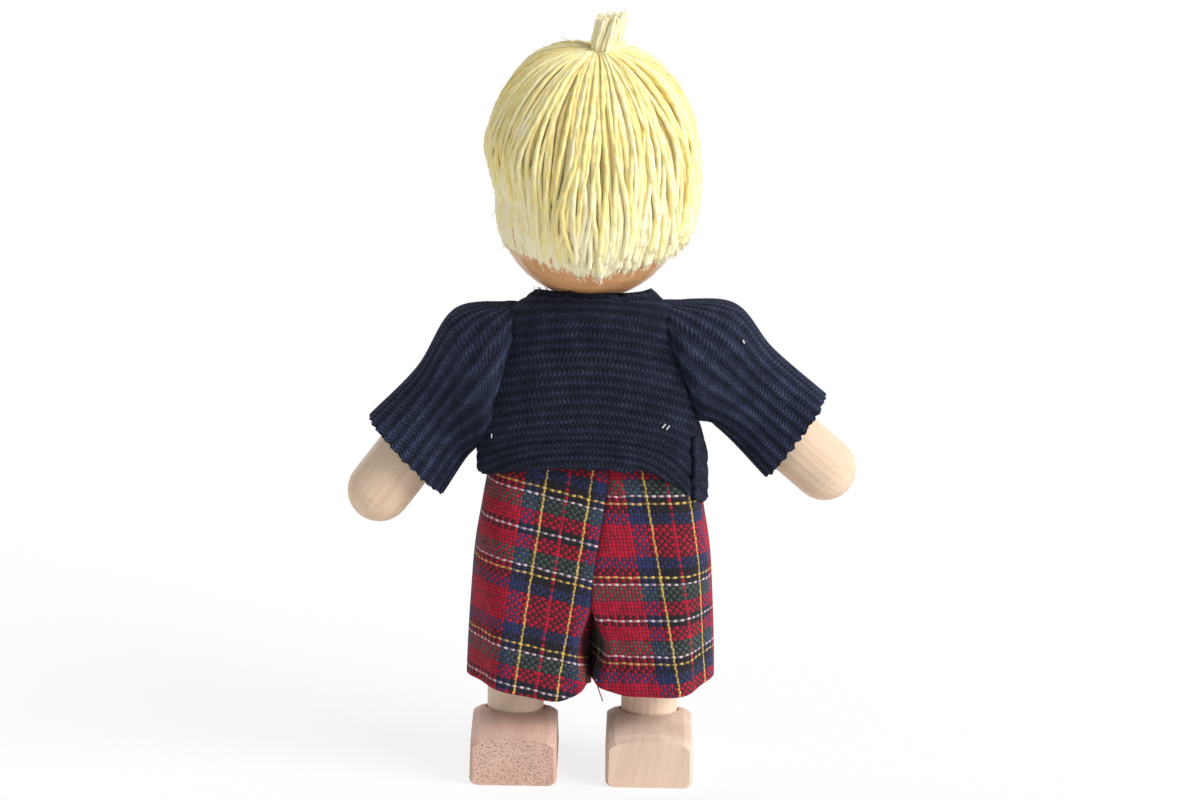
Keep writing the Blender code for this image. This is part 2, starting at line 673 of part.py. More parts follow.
def sleeve_rings(side, grow):
    """Rings from armhole to cuff, about the shoulder. Each spans a top and a bottom point in X and Z."""
    out = ARM_OUT[side]
    along = Vector((sin(out), -cos(out)))
    above = Vector((cos(out), sin(out)))
    armpit = Vector((ARMPIT_OUTSET, -ARMPIT_DROP))
    cap = along * SLEEVE_CAP_ALONG[side] + above * SLEEVE_CAP[side]
    sleeve_top = (SLEEVE_CAP[side] + CUFF_TOP) / 2

    def station(top_along, top, low_along, low, half_depth):
        return along * top_along + above * top, along * low_along - above * low, half_depth

    stations = [
        (Vector((-ARMHOLE_TOP_INSET, ARMHOLE_TOP_RISE)), armpit, ARMHOLE_HALF_DEPTH),
        (cap, armpit + along * KNIT_THICKNESS, SLEEVE_HALF_DEPTH),
        station(SLEEVE_TOP_ALONG, sleeve_top, SLEEVE_BOTTOM_ALONG, SLEEVE_BOTTOM, SLEEVE_HALF_DEPTH),
        station(CUFF_TOP_ALONG, CUFF_TOP, CUFF_BOTTOM_ALONG, CUFF_BOTTOM, CUFF_HALF_DEPTH),
    ]
    rings = []
    for top_x, top_z, low_x, low_z, half_depth in smooth([(*t, *b, d) for t, b, d in stations], 3):
        top, low = Vector((top_x, top_z)), Vector((low_x, low_z))
        middle, half = (top + low) / 2, (top - low) / 2
        half *= 1 + grow / half.length
        ring = []
        for up, y, _ in oval(1, half_depth + grow, SLEEVE_SQUARENESS, TUBE_STEPS):
            point = middle + half * up
            ring.append((side * point.x, y, point.y))
        rings.append(ring)
    return rings


def shell(name, outer, inner, parent, finish):
    """A wall between two lofts, open at both ends."""
    return loft(name, outer + inner[::-1], parent, finish, closed=True)


def sleeve(side, parent):
    shell(
        f"sleeve_{SIDE_NAMES[side]}",
        sleeve_rings(side, 0),
        sleeve_rings(side, -KNIT_THICKNESS),
        parent,
        "navy_knit",
    )


def sweater_rings(inset):
    """Rings of the sweater's body from hem to neckline. The hem dips and flares at the doll's right."""
    hem = HIP_HEIGHT + SWEATER_HEM_RISE
    chest = SHOULDER_SPREAD + ARMPIT_OUTSET + SWEATER_EASE
    neckline = COLLAR_HALF_WIDTH + CLEARANCE + KNIT_THICKNESS
    yoke = (chest + neckline) / 2
    top = SHOULDER_HEIGHT + NECKLINE_RISE
    stations = [
        (hem, HEM_HALF_WIDTH, HEM_HALF_DEPTH),
        (SHOULDER_HEIGHT - ARMPIT_DROP / 2, chest, CHEST_HALF_DEPTH),
        (SHOULDER_HEIGHT + CLEARANCE, yoke + KNIT_THICKNESS, YOKE_HALF_DEPTH),
        (top - KNIT_THICKNESS, yoke - KNIT_THICKNESS, NECKLINE_HALF_DEPTH + KNIT_THICKNESS),
        (top, neckline, NECKLINE_HALF_DEPTH),
    ]
    rings = []
    for z, half_width, half_depth in smooth(stations, 4):
        below = 1 - ease((z - hem) / (ARMPIT_DROP / 2))
        ring = []
        for x, y, turn in oval(half_width - inset, half_depth - inset, BODY_SQUARENESS):
            dip = below * ease(-cos(turn)) ** 2
            ring.append((x - HEM_FLARE * dip, y, z - HEM_DIP * dip))
        rings.append(ring)
    return rings


def sweater(parent, sweeps):
    """Knitted tube, open at hem and neck, cut at the sides for the sleeves."""
    body = shell("sweater_body", sweater_rings(0), sweater_rings(KNIT_THICKNESS), parent, "navy_knit")
    top = Vector((SHOULDER_SPREAD - ARMHOLE_TOP_INSET, SHOULDER_HEIGHT + ARMHOLE_TOP_RISE))
    armpit = Vector((SHOULDER_SPREAD + ARMPIT_OUTSET, SHOULDER_HEIGHT - ARMPIT_DROP))
    slant = atan2(armpit.x - top.x, top.y - armpit.y)
    cut(body, *sweeps)
    for side, name in SIDE_NAMES.items():
        near, far = sorted((-side * CLEARANCE, side * FAR))
        armhole = box(f"armhole_{name}", (near, -FAR, 0), (far, FAR, FAR + ARMPIT_DROP), parent)
        armhole.location = (side * armpit.x, 0, armpit.y)
        armhole.rotation_euler = (0, -side * slant, 0)
        room = loft(f"sleeve_room_{name}", sleeve_rings(side, CLEARANCE), parent)
        room.location = (side * SHOULDER_SPREAD, 0, SHOULDER_HEIGHT)
        cut(body, armhole, room)


def waistband(parent):
    rings = []
    for inset in (0, BAND_THICKNESS):
        outline = oval(BAND_HALF_WIDTH - inset, BAND_HALF_DEPTH - inset, BODY_SQUARENESS)
        levels = (BAND_BOTTOM, BAND_BOTTOM + BAND_HEIGHT)
        rings.append([[(x, y, z) for x, y, _ in outline] for z in levels])
    shell("shorts_waist", rings[0], rings[1], parent, "tartan")


def shorts_rings(side, inset):
    """Rings of one leg of the shorts about its hip, from the waistband down to a hem in soft folds."""
    top = BAND_BOTTOM - CLEARANCE - HIP_HEIGHT
    hem = -SHORTS_LENGTH
    seat_width = (BAND_HALF_WIDTH + SHORTS_HALF_WIDTH) / 2
    seat_depth = (BAND_HALF_DEPTH + 3 * SHORTS_HALF_DEPTH) / 4
    stations = [
        (top, BAND_HALF_WIDTH, BAND_HALF_DEPTH),
        (top * SEAT_SHARE, seat_width, seat_depth),
        (hem * SEAT_SHARE, SHORTS_HALF_WIDTH, SHORTS_HALF_DEPTH),
        (hem, SHORTS_HALF_WIDTH, SHORTS_HALF_DEPTH),
    ]
    seam = SHORTS_SEAM_GAP / 2
    rings = []
    for z, half_width, half_depth in smooth(stations, 4):
        down = ease((top - z) / (top - hem))
        middle = (half_width + seam) / 2 - HIP_SPREAD
        half = (half_width - seam) / 2 - inset
        ring = []
        parted = ease((-CROTCH_DROP / 2 - z) / (CROTCH_DROP / 2))
        outer = blend(SHORTS_SQUARENESS, SHORTS_HEM_SQUARENESS, down)
        inner = blend(SHORTS_SEAM_SQUARENESS, SHORTS_CROTCH_SQUARENESS, parted)
        sections = [oval(half, half_depth - inset, squareness, TUBE_STEPS) for squareness in (outer, inner)]
        for x, y, turn in (first if first[0] >= 0 else second for first, second in zip(*sections)):
            outward = ease((SHORTS_FOLD_REACH + cos(turn)) / SHORTS_FOLD_REACH)
            fold = 1 + down**2 * outward * SHORTS_FOLD_DEPTH / half * cos(SHORTS_FOLDS * turn)
            lift = SHORTS_SIDE_LIFT * down**3 * cos(turn) ** 2
            ring.append((side * (middle + x * fold), y * fold, z + lift))
        rings.append(ring)
    return rings


def shorts_leg(side, parent, torso_room):
    name = f"shorts_{SIDE_NAMES[side]}"
    cloth = shell(name, shorts_rings(side, 0), shorts_rings(side, CLOTH_THICKNESS), parent, "tartan")
    cut(cloth, torso_room)


def arm_extent(side):
    return SHOULDER_SPREAD + ARM_REACH * sin(ARM_OUT[side]) + ARM_RADIUS


def main():
    clear_scene()
    # The origin is the middle of the whole: the right arm reaches further out, and hair stands out behind.
    doll = pivot("doll", ((arm_extent(-1) - arm_extent(1)) / 2, -HAIR_BEHIND, 0))
    sweeps = [arm_sweep(side, doll) for side in SIDE_NAMES]
    torso(doll, sweeps)
    neck(doll)
    sweater(doll, sweeps)
    waistband(doll)
    torso_room = loft("torso_room", torso_rings(CLEARANCE), doll)
    head_pivot = pivot("head_pivot", (0, 0, HEAD_CENTRE), doll)
    head(head_pivot)
    hair(head_pivot)
    tuft(head_pivot)
    for side, name in SIDE_NAMES.items():
        shoulder = pivot(f"shoulder_pivot_{name}", (side * SHOULDER_SPREAD, 0, SHOULDER_HEIGHT), doll)
        arm(side, shoulder)
        sleeve(side, shoulder)
        hip = pivot(f"hip_pivot_{name}", (side * HIP_SPREAD, 0, HIP_HEIGHT), doll)
        leg(side, hip)
        foot(side, hip)
        shorts_leg(side, hip, torso_room)


main()
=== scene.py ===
"""Looks, soft pieces, camera and light of the miniature doll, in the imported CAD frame.

Metres, +Z up. The doll faces -Y and the photo is taken from +Y, so the doll's right is on the
picture's right. In tables by side, 1 is the doll's left (+X) and -1 its right.
"""

import json
from math import cos, pi, radians, sin

import bmesh
import bpy
import numpy as np
from mathutils import Matrix, Vector


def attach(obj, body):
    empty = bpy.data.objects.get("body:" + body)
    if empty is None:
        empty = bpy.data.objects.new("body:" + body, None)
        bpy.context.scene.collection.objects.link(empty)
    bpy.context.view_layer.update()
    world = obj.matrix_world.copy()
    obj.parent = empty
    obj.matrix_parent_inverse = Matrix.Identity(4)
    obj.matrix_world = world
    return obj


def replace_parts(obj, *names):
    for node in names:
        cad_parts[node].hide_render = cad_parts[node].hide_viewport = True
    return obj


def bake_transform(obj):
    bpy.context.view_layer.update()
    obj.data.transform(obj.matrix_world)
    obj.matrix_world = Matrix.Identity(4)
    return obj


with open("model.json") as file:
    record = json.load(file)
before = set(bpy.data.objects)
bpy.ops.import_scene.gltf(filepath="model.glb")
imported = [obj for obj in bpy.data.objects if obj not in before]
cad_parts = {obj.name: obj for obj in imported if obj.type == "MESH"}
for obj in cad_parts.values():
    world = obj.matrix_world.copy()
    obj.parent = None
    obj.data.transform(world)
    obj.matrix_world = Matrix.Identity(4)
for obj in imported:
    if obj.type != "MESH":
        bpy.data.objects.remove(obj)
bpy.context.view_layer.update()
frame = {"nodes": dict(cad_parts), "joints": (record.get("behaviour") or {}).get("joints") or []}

# Camera, fitted to the photo.
CAMERA_PLACE = (0.00043, 0.4727, 0.1364)
CAMERA_TARGET = (0.00043, 0.0, 0.053)
CAMERA_ROLL = radians(1.0)
LENS_MM = 103.0
SENSOR_MM = 36.0
NEAREST_SEEN = 0.01

# Light: a dim white room, two soft suns, and paper that the camera sees nearly white.
ROOM_LIGHT = 0.3
LAMPS = [
    # name, place it shines from, strength, softness in degrees
    ("key", (-0.90, 0.46, 0.60), 3.4, 45),
    ("front", (0.45, -0.70, 0.60), 0.8, 60),
]
FLOOR_REACH = 2.0
FLOOR_WHITE = 0.8

# Head, as turned in CAD, and hair laid on it.
HEAD_RADIUS = 0.0131
HEAD_DOME = 0.0203
HEAD_FULLNESS = 2.5
WHORL = (-0.0006, 0.0040, 0.0203)
HAIR_BACK_DROP = 0.0078
HAIR_SIDE_DROP = 0.0050
FRINGE_RISE = 0.0095
# Angles from the whorl between which the hair's edge is looked for.
HAIR_FALLS = (0.2, 2.6)
# Shares of a yarn's length, with how far it is drawn in there on the doll's left. On the right it
# stands out by LEAN_OUT of that.
LEAN_AT = (0, 0.58, 0.75, 1)
HAIR_LEAN = (0.0, 0.0, 0.0020, 0.0024)
LEAN_OUT = 0.1
LIFT_AT = (0, 0.55, 1)
LIFT_SPREAD = 0.00016
HAIR_SINK = -0.00025
STRAND_RADIUS = 0.00036
STRAND_STEP = 0.0007
STRAND_REACH = 1.15
LEAST_STEPS = 12
STRAND_SIDES = 6
STRAND_LOBE = 0.10
STRAND_SWAY = 0.00048
STRAND_WAVE = 0.00008
LOCK_SWAY = 0.00042
TWIST_PITCH = 0.0025
# Angles from the whorl and the yarn's width there, and shares of its length and its width there.
CROWN_TAPER = (0.0, 0.12, 0.6), (0.5, 0.6, 1.0)
TIP_TAPER = (0, 0.93, 0.97, 1), (1, 1, 1.15, 0.75)
TIP_PALER = 0.3
WISP_RADIUS = 0.000045
WISP_STEPS = 5
WISP_SIDES = 5
WISP_CURL = 0.25
TIP_WISPS = 4
TIP_WISP_LENGTH = 0.0007
STRAY_LENGTH = 0.0018
PARTING_TURN = radians(92)
PARTING_WIDTH = 0.16
PARTING_PUSH = 0.05
PARTING_FALLS = (0.2, 1.3)
HAIR_LAYERS = [
    # count, start and shortening as angles from the whorl, lift over the head at crown, middle
    # and tip, share in the parting, tone
    # The inner layers' higher tones paint them lighter: painted light in the shaded gaps between the outer
    # yarns.
    (200, (0.30, 0.55), (-0.08, 0.03), (0.0004, 0.0004, 0.0003), 0.0, (0.7, 1.1)),
    (170, (0.12, 0.25), (-0.03, 0.18), (0.0011, 0.0012, 0.0006), 0.3, (0.5, 1.0)),
    (180, (0.02, 0.10), (0.06, 0.45), (0.0017, 0.0022, 0.0009), 1.0, (0.3, 0.9)),
]

# The tuft of yarn ends and the thread round it.
TUFT_STRANDS = 44
TUFT_ASIDE = -0.0005
TUFT_LEAN = (-0.26, 0.10, 1.0)
TUFT_HEIGHT = 0.0061
TUFT_SLANT = 0.0006
TUFT_RADIUS = 0.0014
TUFT_FLARE = 0.0005
TUFT_TURN = 2.4
TUFT_TAPER = (0, 0.9, 1), (0.7, 0.85, 0.7)
TUFT_WISPS = 2
TUFT_WISP_LENGTH = 0.0005
TIE_RADIUS = 0.0017
TIE_TURNS = 3
TIE_PITCH = 0.0003
TIE_THREAD = 0.0002

# Sweater, shaped as in CAD and then fitted to the photo.
SHOULDER_SPREAD = 0.0131
KNIT_THICKNESS = 0.0011
RIB_PITCH = 0.00133
RIB_DEPTH = 0.00022
RIB_ARCH = {1: 0.0030, -1: 0.0042}
RIB_ARCH_REACH = 0.016
RIB_FULLNESS = 0.8
STITCH_PITCH = 0.00062
SWEATER_GRID = (130, 300)
SWEATER_LINING_ROWS = 24
SWEATER_ASIDE = -0.0006
HEM_RISE = 0.0449
HEM_DIP = {1: 0.0018, -1: 0.0052}
HEM_DIP_RISE = 0.0064
HEM_DIP_ASIDE = 0.0006
HEM_EDGE = 0.0012
NECK_SCOOP = 0.0030
NECK_SCOOP_AT = 0.062
NECK_SCOOP_RISE = 0.007
NECK_EDGE = 0.0022
# Waves of the raw edges: smoothing and size of the fine ones and the broad ones.
HEM_WAVES = (3, 0.00010), (16, 0.00008)
NECK_WAVES = (7, 0.00014), (20, 0.00022)
# The cone that the arm sweeps: how far in from the shoulder its tip is, its slope, and the lining's gap.
DISH_DEPTH = 0.0053
DISH_SLOPE = pi / 6
DISH_LINING = 0.0008
ARMPIT = {1: (0.0018, -0.0139), -1: (0.0040, -0.0103)}
ARMHOLE_TOP = {1: (-0.0014, 0.0057), -1: (-0.0014, 0.0063)}
ARM_OUT = {1: radians(37.0), -1: radians(50.0)}
# Top edge of each sleeve, then its lower edge: along the arm and above its middle.
SLEEVE_CAP = {1: (0.0000, 0.0074), -1: (0.0017, 0.0093)}
SLEEVE_MIDDLE = {1: ((0.0094, 0.0065), (0.0155, -0.0068)), -1: ((0.0098, 0.0081), (0.0145, -0.0055))}
SLEEVE_CUFF = {1: ((0.0187, 0.0076), (0.0210, -0.0073)), -1: ((0.0195, 0.0081), (0.0206, -0.0062))}
SLEEVE_HALF_DEPTHS = (0.0068, 0.0090, 0.0080, 0.0064, 0.0070)
SLEEVE_SQUARENESS = 2.8
SLEEVE_SINK = 0.0022
SLEEVE_GUSSET = 0.0012
# Depth and radius of the ring on the arm's swing axis that the sleeve runs in to.
SLEEVE_HUB = (0.0035, 0.0050)
SLEEVE_ROOT_ROWS = 12
SLEEVE_GRID = (90, 330)
SLEEVE_LINING_ROWS = 20
SLEEVE_RIBS = 27
SLEEVE_RIB_DEPTH = 1.3 * RIB_DEPTH
CUFF_LOOP = 0.00035
CUFF_EDGE = 0.002
# The raw seam at the doll's right side, and the frayed corner of the neckline.
SEAM_AT = (-0.0130, 0.0064)
SEAM_TOP = 0.0495
SEAM_HALF_WIDTH = 0.0008
SEAM_HALF_HEIGHT = 0.0004
SEAM_LIFT = 0.0003
SEAM_SIDES = 10
FRAYED_AT = (0.0083, 0.0690)
FRAYED_SPREAD = (0.0011, 0.0004, 0.0002)
FRAYED_WISPS = 12
FRAYED_LENGTH = 0.0008
LINT_RADIUS = 0.00012
LINT_LIFT = 0.0002
# Flecks of lint: x, z, lean and length.
BODY_LINT = [
    (-0.0084, 0.0511, -0.7, 0.0007),
    (-0.0088, 0.0510, -0.6, 0.0007),
    (0.0152, 0.0488, -0.1, 0.0006),
    (-0.0128, 0.0452, -0.4, 0.0010),
]
SLEEVE_LINT = {
    1: [(0.0218, 0.0432, -1.2, 0.0006), (0.0128, 0.0660, 1.4, 0.0008)],
    -1: [(-0.0190, 0.0625, 0.5, 0.0005)],
}

# Shorts. The legs are laid out about their hips, the loose thread and the waistband where they are.
SHORTS_GRID = (90, 220)
SHORTS_LINING_ROWS = 24
SHORTS_HALF_WIDTH = {1: 0.0167, -1: 0.0168}
SHORTS_HALF_DEPTH = 0.0096
SHORTS_LENGTH = {1: 0.0227, -1: 0.0224}
SHORTS_TOP = 0.0107
HIP_SPREAD = 0.0095
CROTCH_DROP = 0.0105
CLOTH_THICKNESS = 0.0007
SEAM_LAP = 0.0003
SHORTS_ASIDE = -0.0010
SEAM_ASIDE = -0.0022
WAIST_SQUARENESS = 3.2
HEM_ROUNDER = 0.6
SEAM_SQUARENESS = 14
CROTCH_ROUNDER = 8
FOLDS = 5
FOLD_DEPTH = 0.0005
FOLD_REACH = 1.2
# The gap between the legs: its depth, where it opens and where it closes again, and over what heights.
WEDGE = {1: 0.0016, -1: 0.0020}
WEDGE_OPENS = (-0.0095, 0.0075)
WEDGE_CLOSES = (-0.0175, 0.0045)
WEDGE_CLOSED = 0.6
# How far each hem rises at its outer and inner side, the share of that midway, and its tilt.
HEM_LIFT_OUT = {1: -0.0003, -1: 0.0014}
HEM_LIFT_IN = {1: 0.0039, -1: 0.0018}
HEM_LIFT_LEAST = 0.4
HEM_TILT = {1: 0.0018, -1: 0.0}
LOOSE_THREAD = [(0.0003, 0.0075, 0.0147), (-0.0001, 0.0075, 0.0132), (-0.0007, 0.0075, 0.0116)]
LOOSE_THREAD_RADIUS = 0.00009
BAND_COLUMNS = 160
BAND_ROWS = 8
BAND_HALF_WIDTH = 0.0139
BAND_HALF_DEPTH = 0.0080
BAND_SQUARENESS = 3.0
BAND_RISE = (0.0461, 0.0489)
GATHERS = 40
GATHER_DEPTH = 0.00015

# Tartan: the mirror lines lie this far across from the middle and down from the waist, and the
# stripes slant and tilt about the pivot, across and down too.
WARP_PITCH = 0.00052
WEFT_PITCH = 0.000515
TARTAN_AT = {1: (0.0052, 0.0099), -1: (0.01266, 0.0222)}
TARTAN_PIVOT = (0.007, 0.016)
WARP_SLANT = {1: 0.138, -1: 0.19}
WEFT_TILT = {1: 0.24, -1: 0.02}
WEFT_SAG = {1: 0.17, -1: 0.03}

# Height of the bump maps of thread and wood.
THREAD_RELIEF = 0.00016
GRAIN_RELIEF = 0.00004

TAU = 2 * pi
SIDES = {1: "left", -1: "right"}
joints = {joint["name"]: joint for joint in frame["joints"]}
nodes = frame["nodes"]


def joint_point(name):
    return np.array(joints[name]["pos_m"])


HEAD = joint_point("head_turn")
MIDDLE = np.array([HEAD[0], HEAD[1], 0.0])


def colour(red, green, blue):
    """A colour seen on screen (0 to 255) as linear light."""
    parts = np.array([red, green, blue]) / 255
    return (*np.where(parts < 0.04045, parts / 12.92, ((parts + 0.055) / 1.055) ** 2.4), 1.0)


def ease(t):
    """A smooth step from 0 to 1."""
    t = np.clip(t, 0, 1)
    return t * t * (3 - 2 * t)


def unit(vectors):
    return vectors / np.maximum(np.linalg.norm(vectors, axis=-1, keepdims=True), 1e-12)


def through(stations, count=200):
    """A smooth curve through rows of numbers."""
    rows = np.array(stations, float)
    spots = np.linspace(0, len(rows) - 1, count)
    first = np.minimum(spots.astype(int), len(rows) - 2)
    t = (spots - first)[:, None]
    p, a, b, q = (rows[np.clip(first + k, 0, len(rows) - 1)] for k in (-1, 0, 1, 2))
    return a + t / 2 * (b - p + t * (2 * p - 5 * a + 4 * b - q + t * (3 * (a - b) + q - p)))


def lengths(points):
    """Distance from the start of a line to each of its points."""
    steps = np.linalg.norm(np.diff(points, axis=0), axis=1)
    return np.concatenate([[0], np.cumsum(steps)])


def evenly(points, count, closed=False):
    """The same line at even distances, with what follows each point's first three numbers.

    A closed line doesn't repeat its start.
    """
    line = np.vstack([points, points[:1]]) if closed else points
    run = lengths(line[:, :3])
    spots = np.linspace(0, run[-1], count, endpoint=not closed)
    return np.stack([np.interp(spots, run, line[:, k]) for k in range(line.shape[1])], 1)


def once_round(columns):
    """Angles for a ring that is then laid out evenly in this many columns."""
    return np.linspace(0, TAU, 6 * columns, endpoint=False)


def oval(half_width, half_depth, squareness, turn):
    """Points of an oval, squarer the higher its squareness is above 2."""
    c, s = np.cos(turn), np.sin(turn)
    across = half_width * np.sign(c) * np.abs(c) ** (2 / squareness)
    return across, half_depth * np.sign(s) * np.abs(s) ** (2 / squareness)


def ring_uv(rings):
    """Distance round each ring and down the first column, in metres, with the seam's column doubled."""
    line = np.concatenate([rings, rings[:, :1]], 1)
    around = np.linalg.norm(np.diff(line, axis=1), axis=2)
    u = np.concatenate([np.zeros((len(rings), 1)), np.cumsum(around, 1)], 1)
    v = np.repeat(lengths(rings[:, 0])[:, None], u.shape[1], 1)
    return np.stack([u, v], 2)


def outward(rings):
    """Normals of a grid whose rows run round anticlockwise seen from where the rows lead."""
    round_it = np.roll(rings, -1, 1) - np.roll(rings, 1, 1)
    return unit(np.cross(round_it, np.gradient(rings, axis=0)))


def waver(rng, count, smoothing, size):
    """Smooth random numbers along a line, of about the given size."""
    kernel = np.hanning(smoothing + 2)[1:-1]
    raw = rng.normal(size=count + len(kernel) - 1)
    return size * np.convolve(raw, kernel / np.sqrt((kernel**2).sum()), "valid")


def place_in_scene(name, data):
    thing = bpy.data.objects.new(name, data)
    bpy.context.scene.collection.objects.link(thing)
    return thing


class Surface:
    """Quads gathered from grids of points, made into one piece."""

    def __init__(self):
        self.points, self.faces, self.uvs, self.tones, self.count = [], [], [], [], 0

    def grid(self, points, uv, tone=0.0, looped=False, caps=False):
        """Rows that run round. Looped joins the last row to the first; uv has one column more."""
        rows, columns = points.shape[:2]
        i, j = (part.ravel() for part in np.mgrid[: rows if looped else rows - 1, :columns])
        up, across = (i + 1) % rows, (j + 1) % columns
        corners = [(i, j, j), (i, across, j + 1), (up, across, j + 1), (up, j, j)]
        quads = np.stack([row * columns + column for row, column, _ in corners], 1)
        self.faces.extend((quads + self.count).tolist())
        self.uvs.append(np.stack([uv[row, column] for row, _, column in corners], 1).reshape(-1, 2))
        if caps:
            for row in (0, rows - 1):
                self.faces.append((row * columns + np.arange(columns) + self.count).tolist())
                self.uvs.append(uv[row, :columns])
        self.points.append(points.reshape(-1, 3))
        self.tones.append(np.broadcast_to(tone, points.shape[:2]).ravel())
        self.count += rows * columns

    def tube(self, path, up, radius, sides, tone=0.0, lobe=0.0):
        """A closed tube along a path, with the two lobes of a twisted thread."""
        tangent = unit(np.gradient(path, axis=0))
        normal = unit(up - (up * tangent).sum(1, keepdims=True) * tangent)
        side = np.cross(tangent, normal)
        turn = TAU * np.arange(sides) / sides
        run = lengths(path)
        wide = np.broadcast_to(radius, len(path))[:, None] * (
            1 + lobe * np.cos(2 * (turn - TAU * run[:, None] / 2 / TWIST_PITCH))
        )
        ring = np.cos(turn)[None, :, None] * normal[:, None] + np.sin(turn)[None, :, None] * side[:, None]
        around = np.broadcast_to(np.arange(sides + 1) / sides * (lobe > 0), (len(path), sides + 1))
        uv = np.stack([around, np.broadcast_to(run[:, None], around.shape)], 2)
        self.grid(path[:, None] + wide[..., None] * ring, uv, tone, caps=True)

    def piece(self, name, look, slot):
        mesh = bpy.data.meshes.new(name)
        mesh.from_pydata(np.concatenate(self.points), [], self.faces)
        mesh.uv_layers.new(name="UVMap").data.foreach_set("uv", np.concatenate(self.uvs).ravel())
        tones = mesh.attributes.new("tone", "FLOAT", "POINT")
        tones.data.foreach_set("value", np.concatenate(self.tones).astype(np.float32))
        shape = bmesh.new()
        shape.from_mesh(mesh)
        bmesh.ops.recalc_face_normals(shape, faces=shape.faces)
        shape.to_mesh(mesh)
        shape.free()
        mesh.shade_smooth()
        mesh.materials.append(look)
        piece = place_in_scene(name, mesh)
        return piece


class Look:
    """A Principled material and short ways to add nodes to it."""

    def __init__(self, name, **values):
        self.material = bpy.data.materials.new(name)
        self.material.use_nodes = True
        self.tree = self.material.node_tree
        self.shader = self.tree.nodes["Principled BSDF"]
        self.fill(self.shader, {key.replace("_", " ").title(): value for key, value in values.items()})

    def fill(self, node, sockets):
        for key, value in sockets.items():
            if isinstance(value, bpy.types.NodeSocket):
                self.tree.links.new(value, node.inputs[key])
            else:
                node.inputs[key].default_value = value

    def node(self, kind, sockets=None, **settings):
        node = self.tree.nodes.new("ShaderNode" + kind)
        for key, value in settings.items():
            setattr(node, key, value)
        self.fill(node, sockets or {})
        return node

    def math(self, operation, *values):
        return self.node("Math", dict(enumerate(values)), operation=operation).outputs[0]

    def times(self, first, second):
        return self.math("MULTIPLY", first, second)

    def plus(self, first, second):
        return self.math("ADD", first, second)

    def minus(self, first, second):
        return self.math("SUBTRACT", first, second)

    def vary(self, value, noise, middle, amount):
        """The value, moved by how far the noise is from its middle."""
        return self.plus(value, self.times(self.minus(noise, middle), amount))

    def mix(self, share, first, second):
        node = self.node("Mix", {0: share, 6: first, 7: second}, data_type="RGBA")
        return node.outputs[2]

    def ramp(self, value, stops, interpolation="LINEAR"):
        node = self.node("ValToRGB", {0: value})
        node.color_ramp.interpolation = interpolation
        elements = node.color_ramp.elements
        while len(elements) < len(stops):
            elements.new(1.0)
        for element, (position, tint) in zip(elements, stops):
            element.position, element.color = position, tint
        return node.outputs[0]

    def noise(self, vector, scale, detail=2.0, roughness=0.5):
        sockets = {"Vector": vector, "Scale": scale, "Detail": detail, "Roughness": roughness}
        return self.node("TexNoise", sockets).outputs[0]

    def place(self, kind):
        return self.node("TexCoord").outputs[kind]

    def axes(self, vector):
        return self.node("SeparateXYZ", {0: vector}).outputs

    def stretch(self, vector, scale, turn=(0, 0, 0)):
        """The place turned first and then scaled, so that noise lies along a chosen direction."""
        turned = self.node("Mapping", {"Vector": vector, "Rotation": turn})
        return self.node("Mapping", {"Vector": turned.outputs[0], "Scale": scale}).outputs[0]

    def bump(self, height, distance, strength):
        node = self.node("Bump", {"Height": height, "Distance": distance, "Strength": strength})
        self.fill(self.shader, {"Normal": node.outputs[0]})

    def paint(self, tint):
        self.fill(self.shader, {"Base Color": tint})
        return self.material


def yarn_look(name, dark, middle, light):
    look = Look(name, roughness=0.9, sheen_weight=0.35, sheen_roughness=0.6)
    tone = look.node("Attribute", attribute_name="tone").outputs["Fac"]
    u, v, _ = look.axes(look.place("UV"))
    twist = look.plus(look.times(u, 2.0), look.math("DIVIDE", v, TWIST_PITCH))
    ply = look.math("SINE", look.times(twist, TAU))
    across, along = look.times(twist, 3.0), look.times(v, 300.0)
    fibre = look.noise(look.node("CombineXYZ", {0: across, 1: along}).outputs[0], 3.0, 3.0)
    patch = look.noise(look.place("Object"), 500.0)
    height = look.plus(look.times(ply, 0.5), fibre)
    # Low places in the relief are darker: painted shade in the twist's grooves, along with the yarn's own
    # fibre streaks.
    shade = look.vary(look.vary(tone, patch, 0.5, 0.7), height, 0.5, 0.2)
    look.bump(height, THREAD_RELIEF, 0.45)
    return look.paint(look.ramp(shade, [(0.0, dark), (0.5, middle), (1.0, light)]))


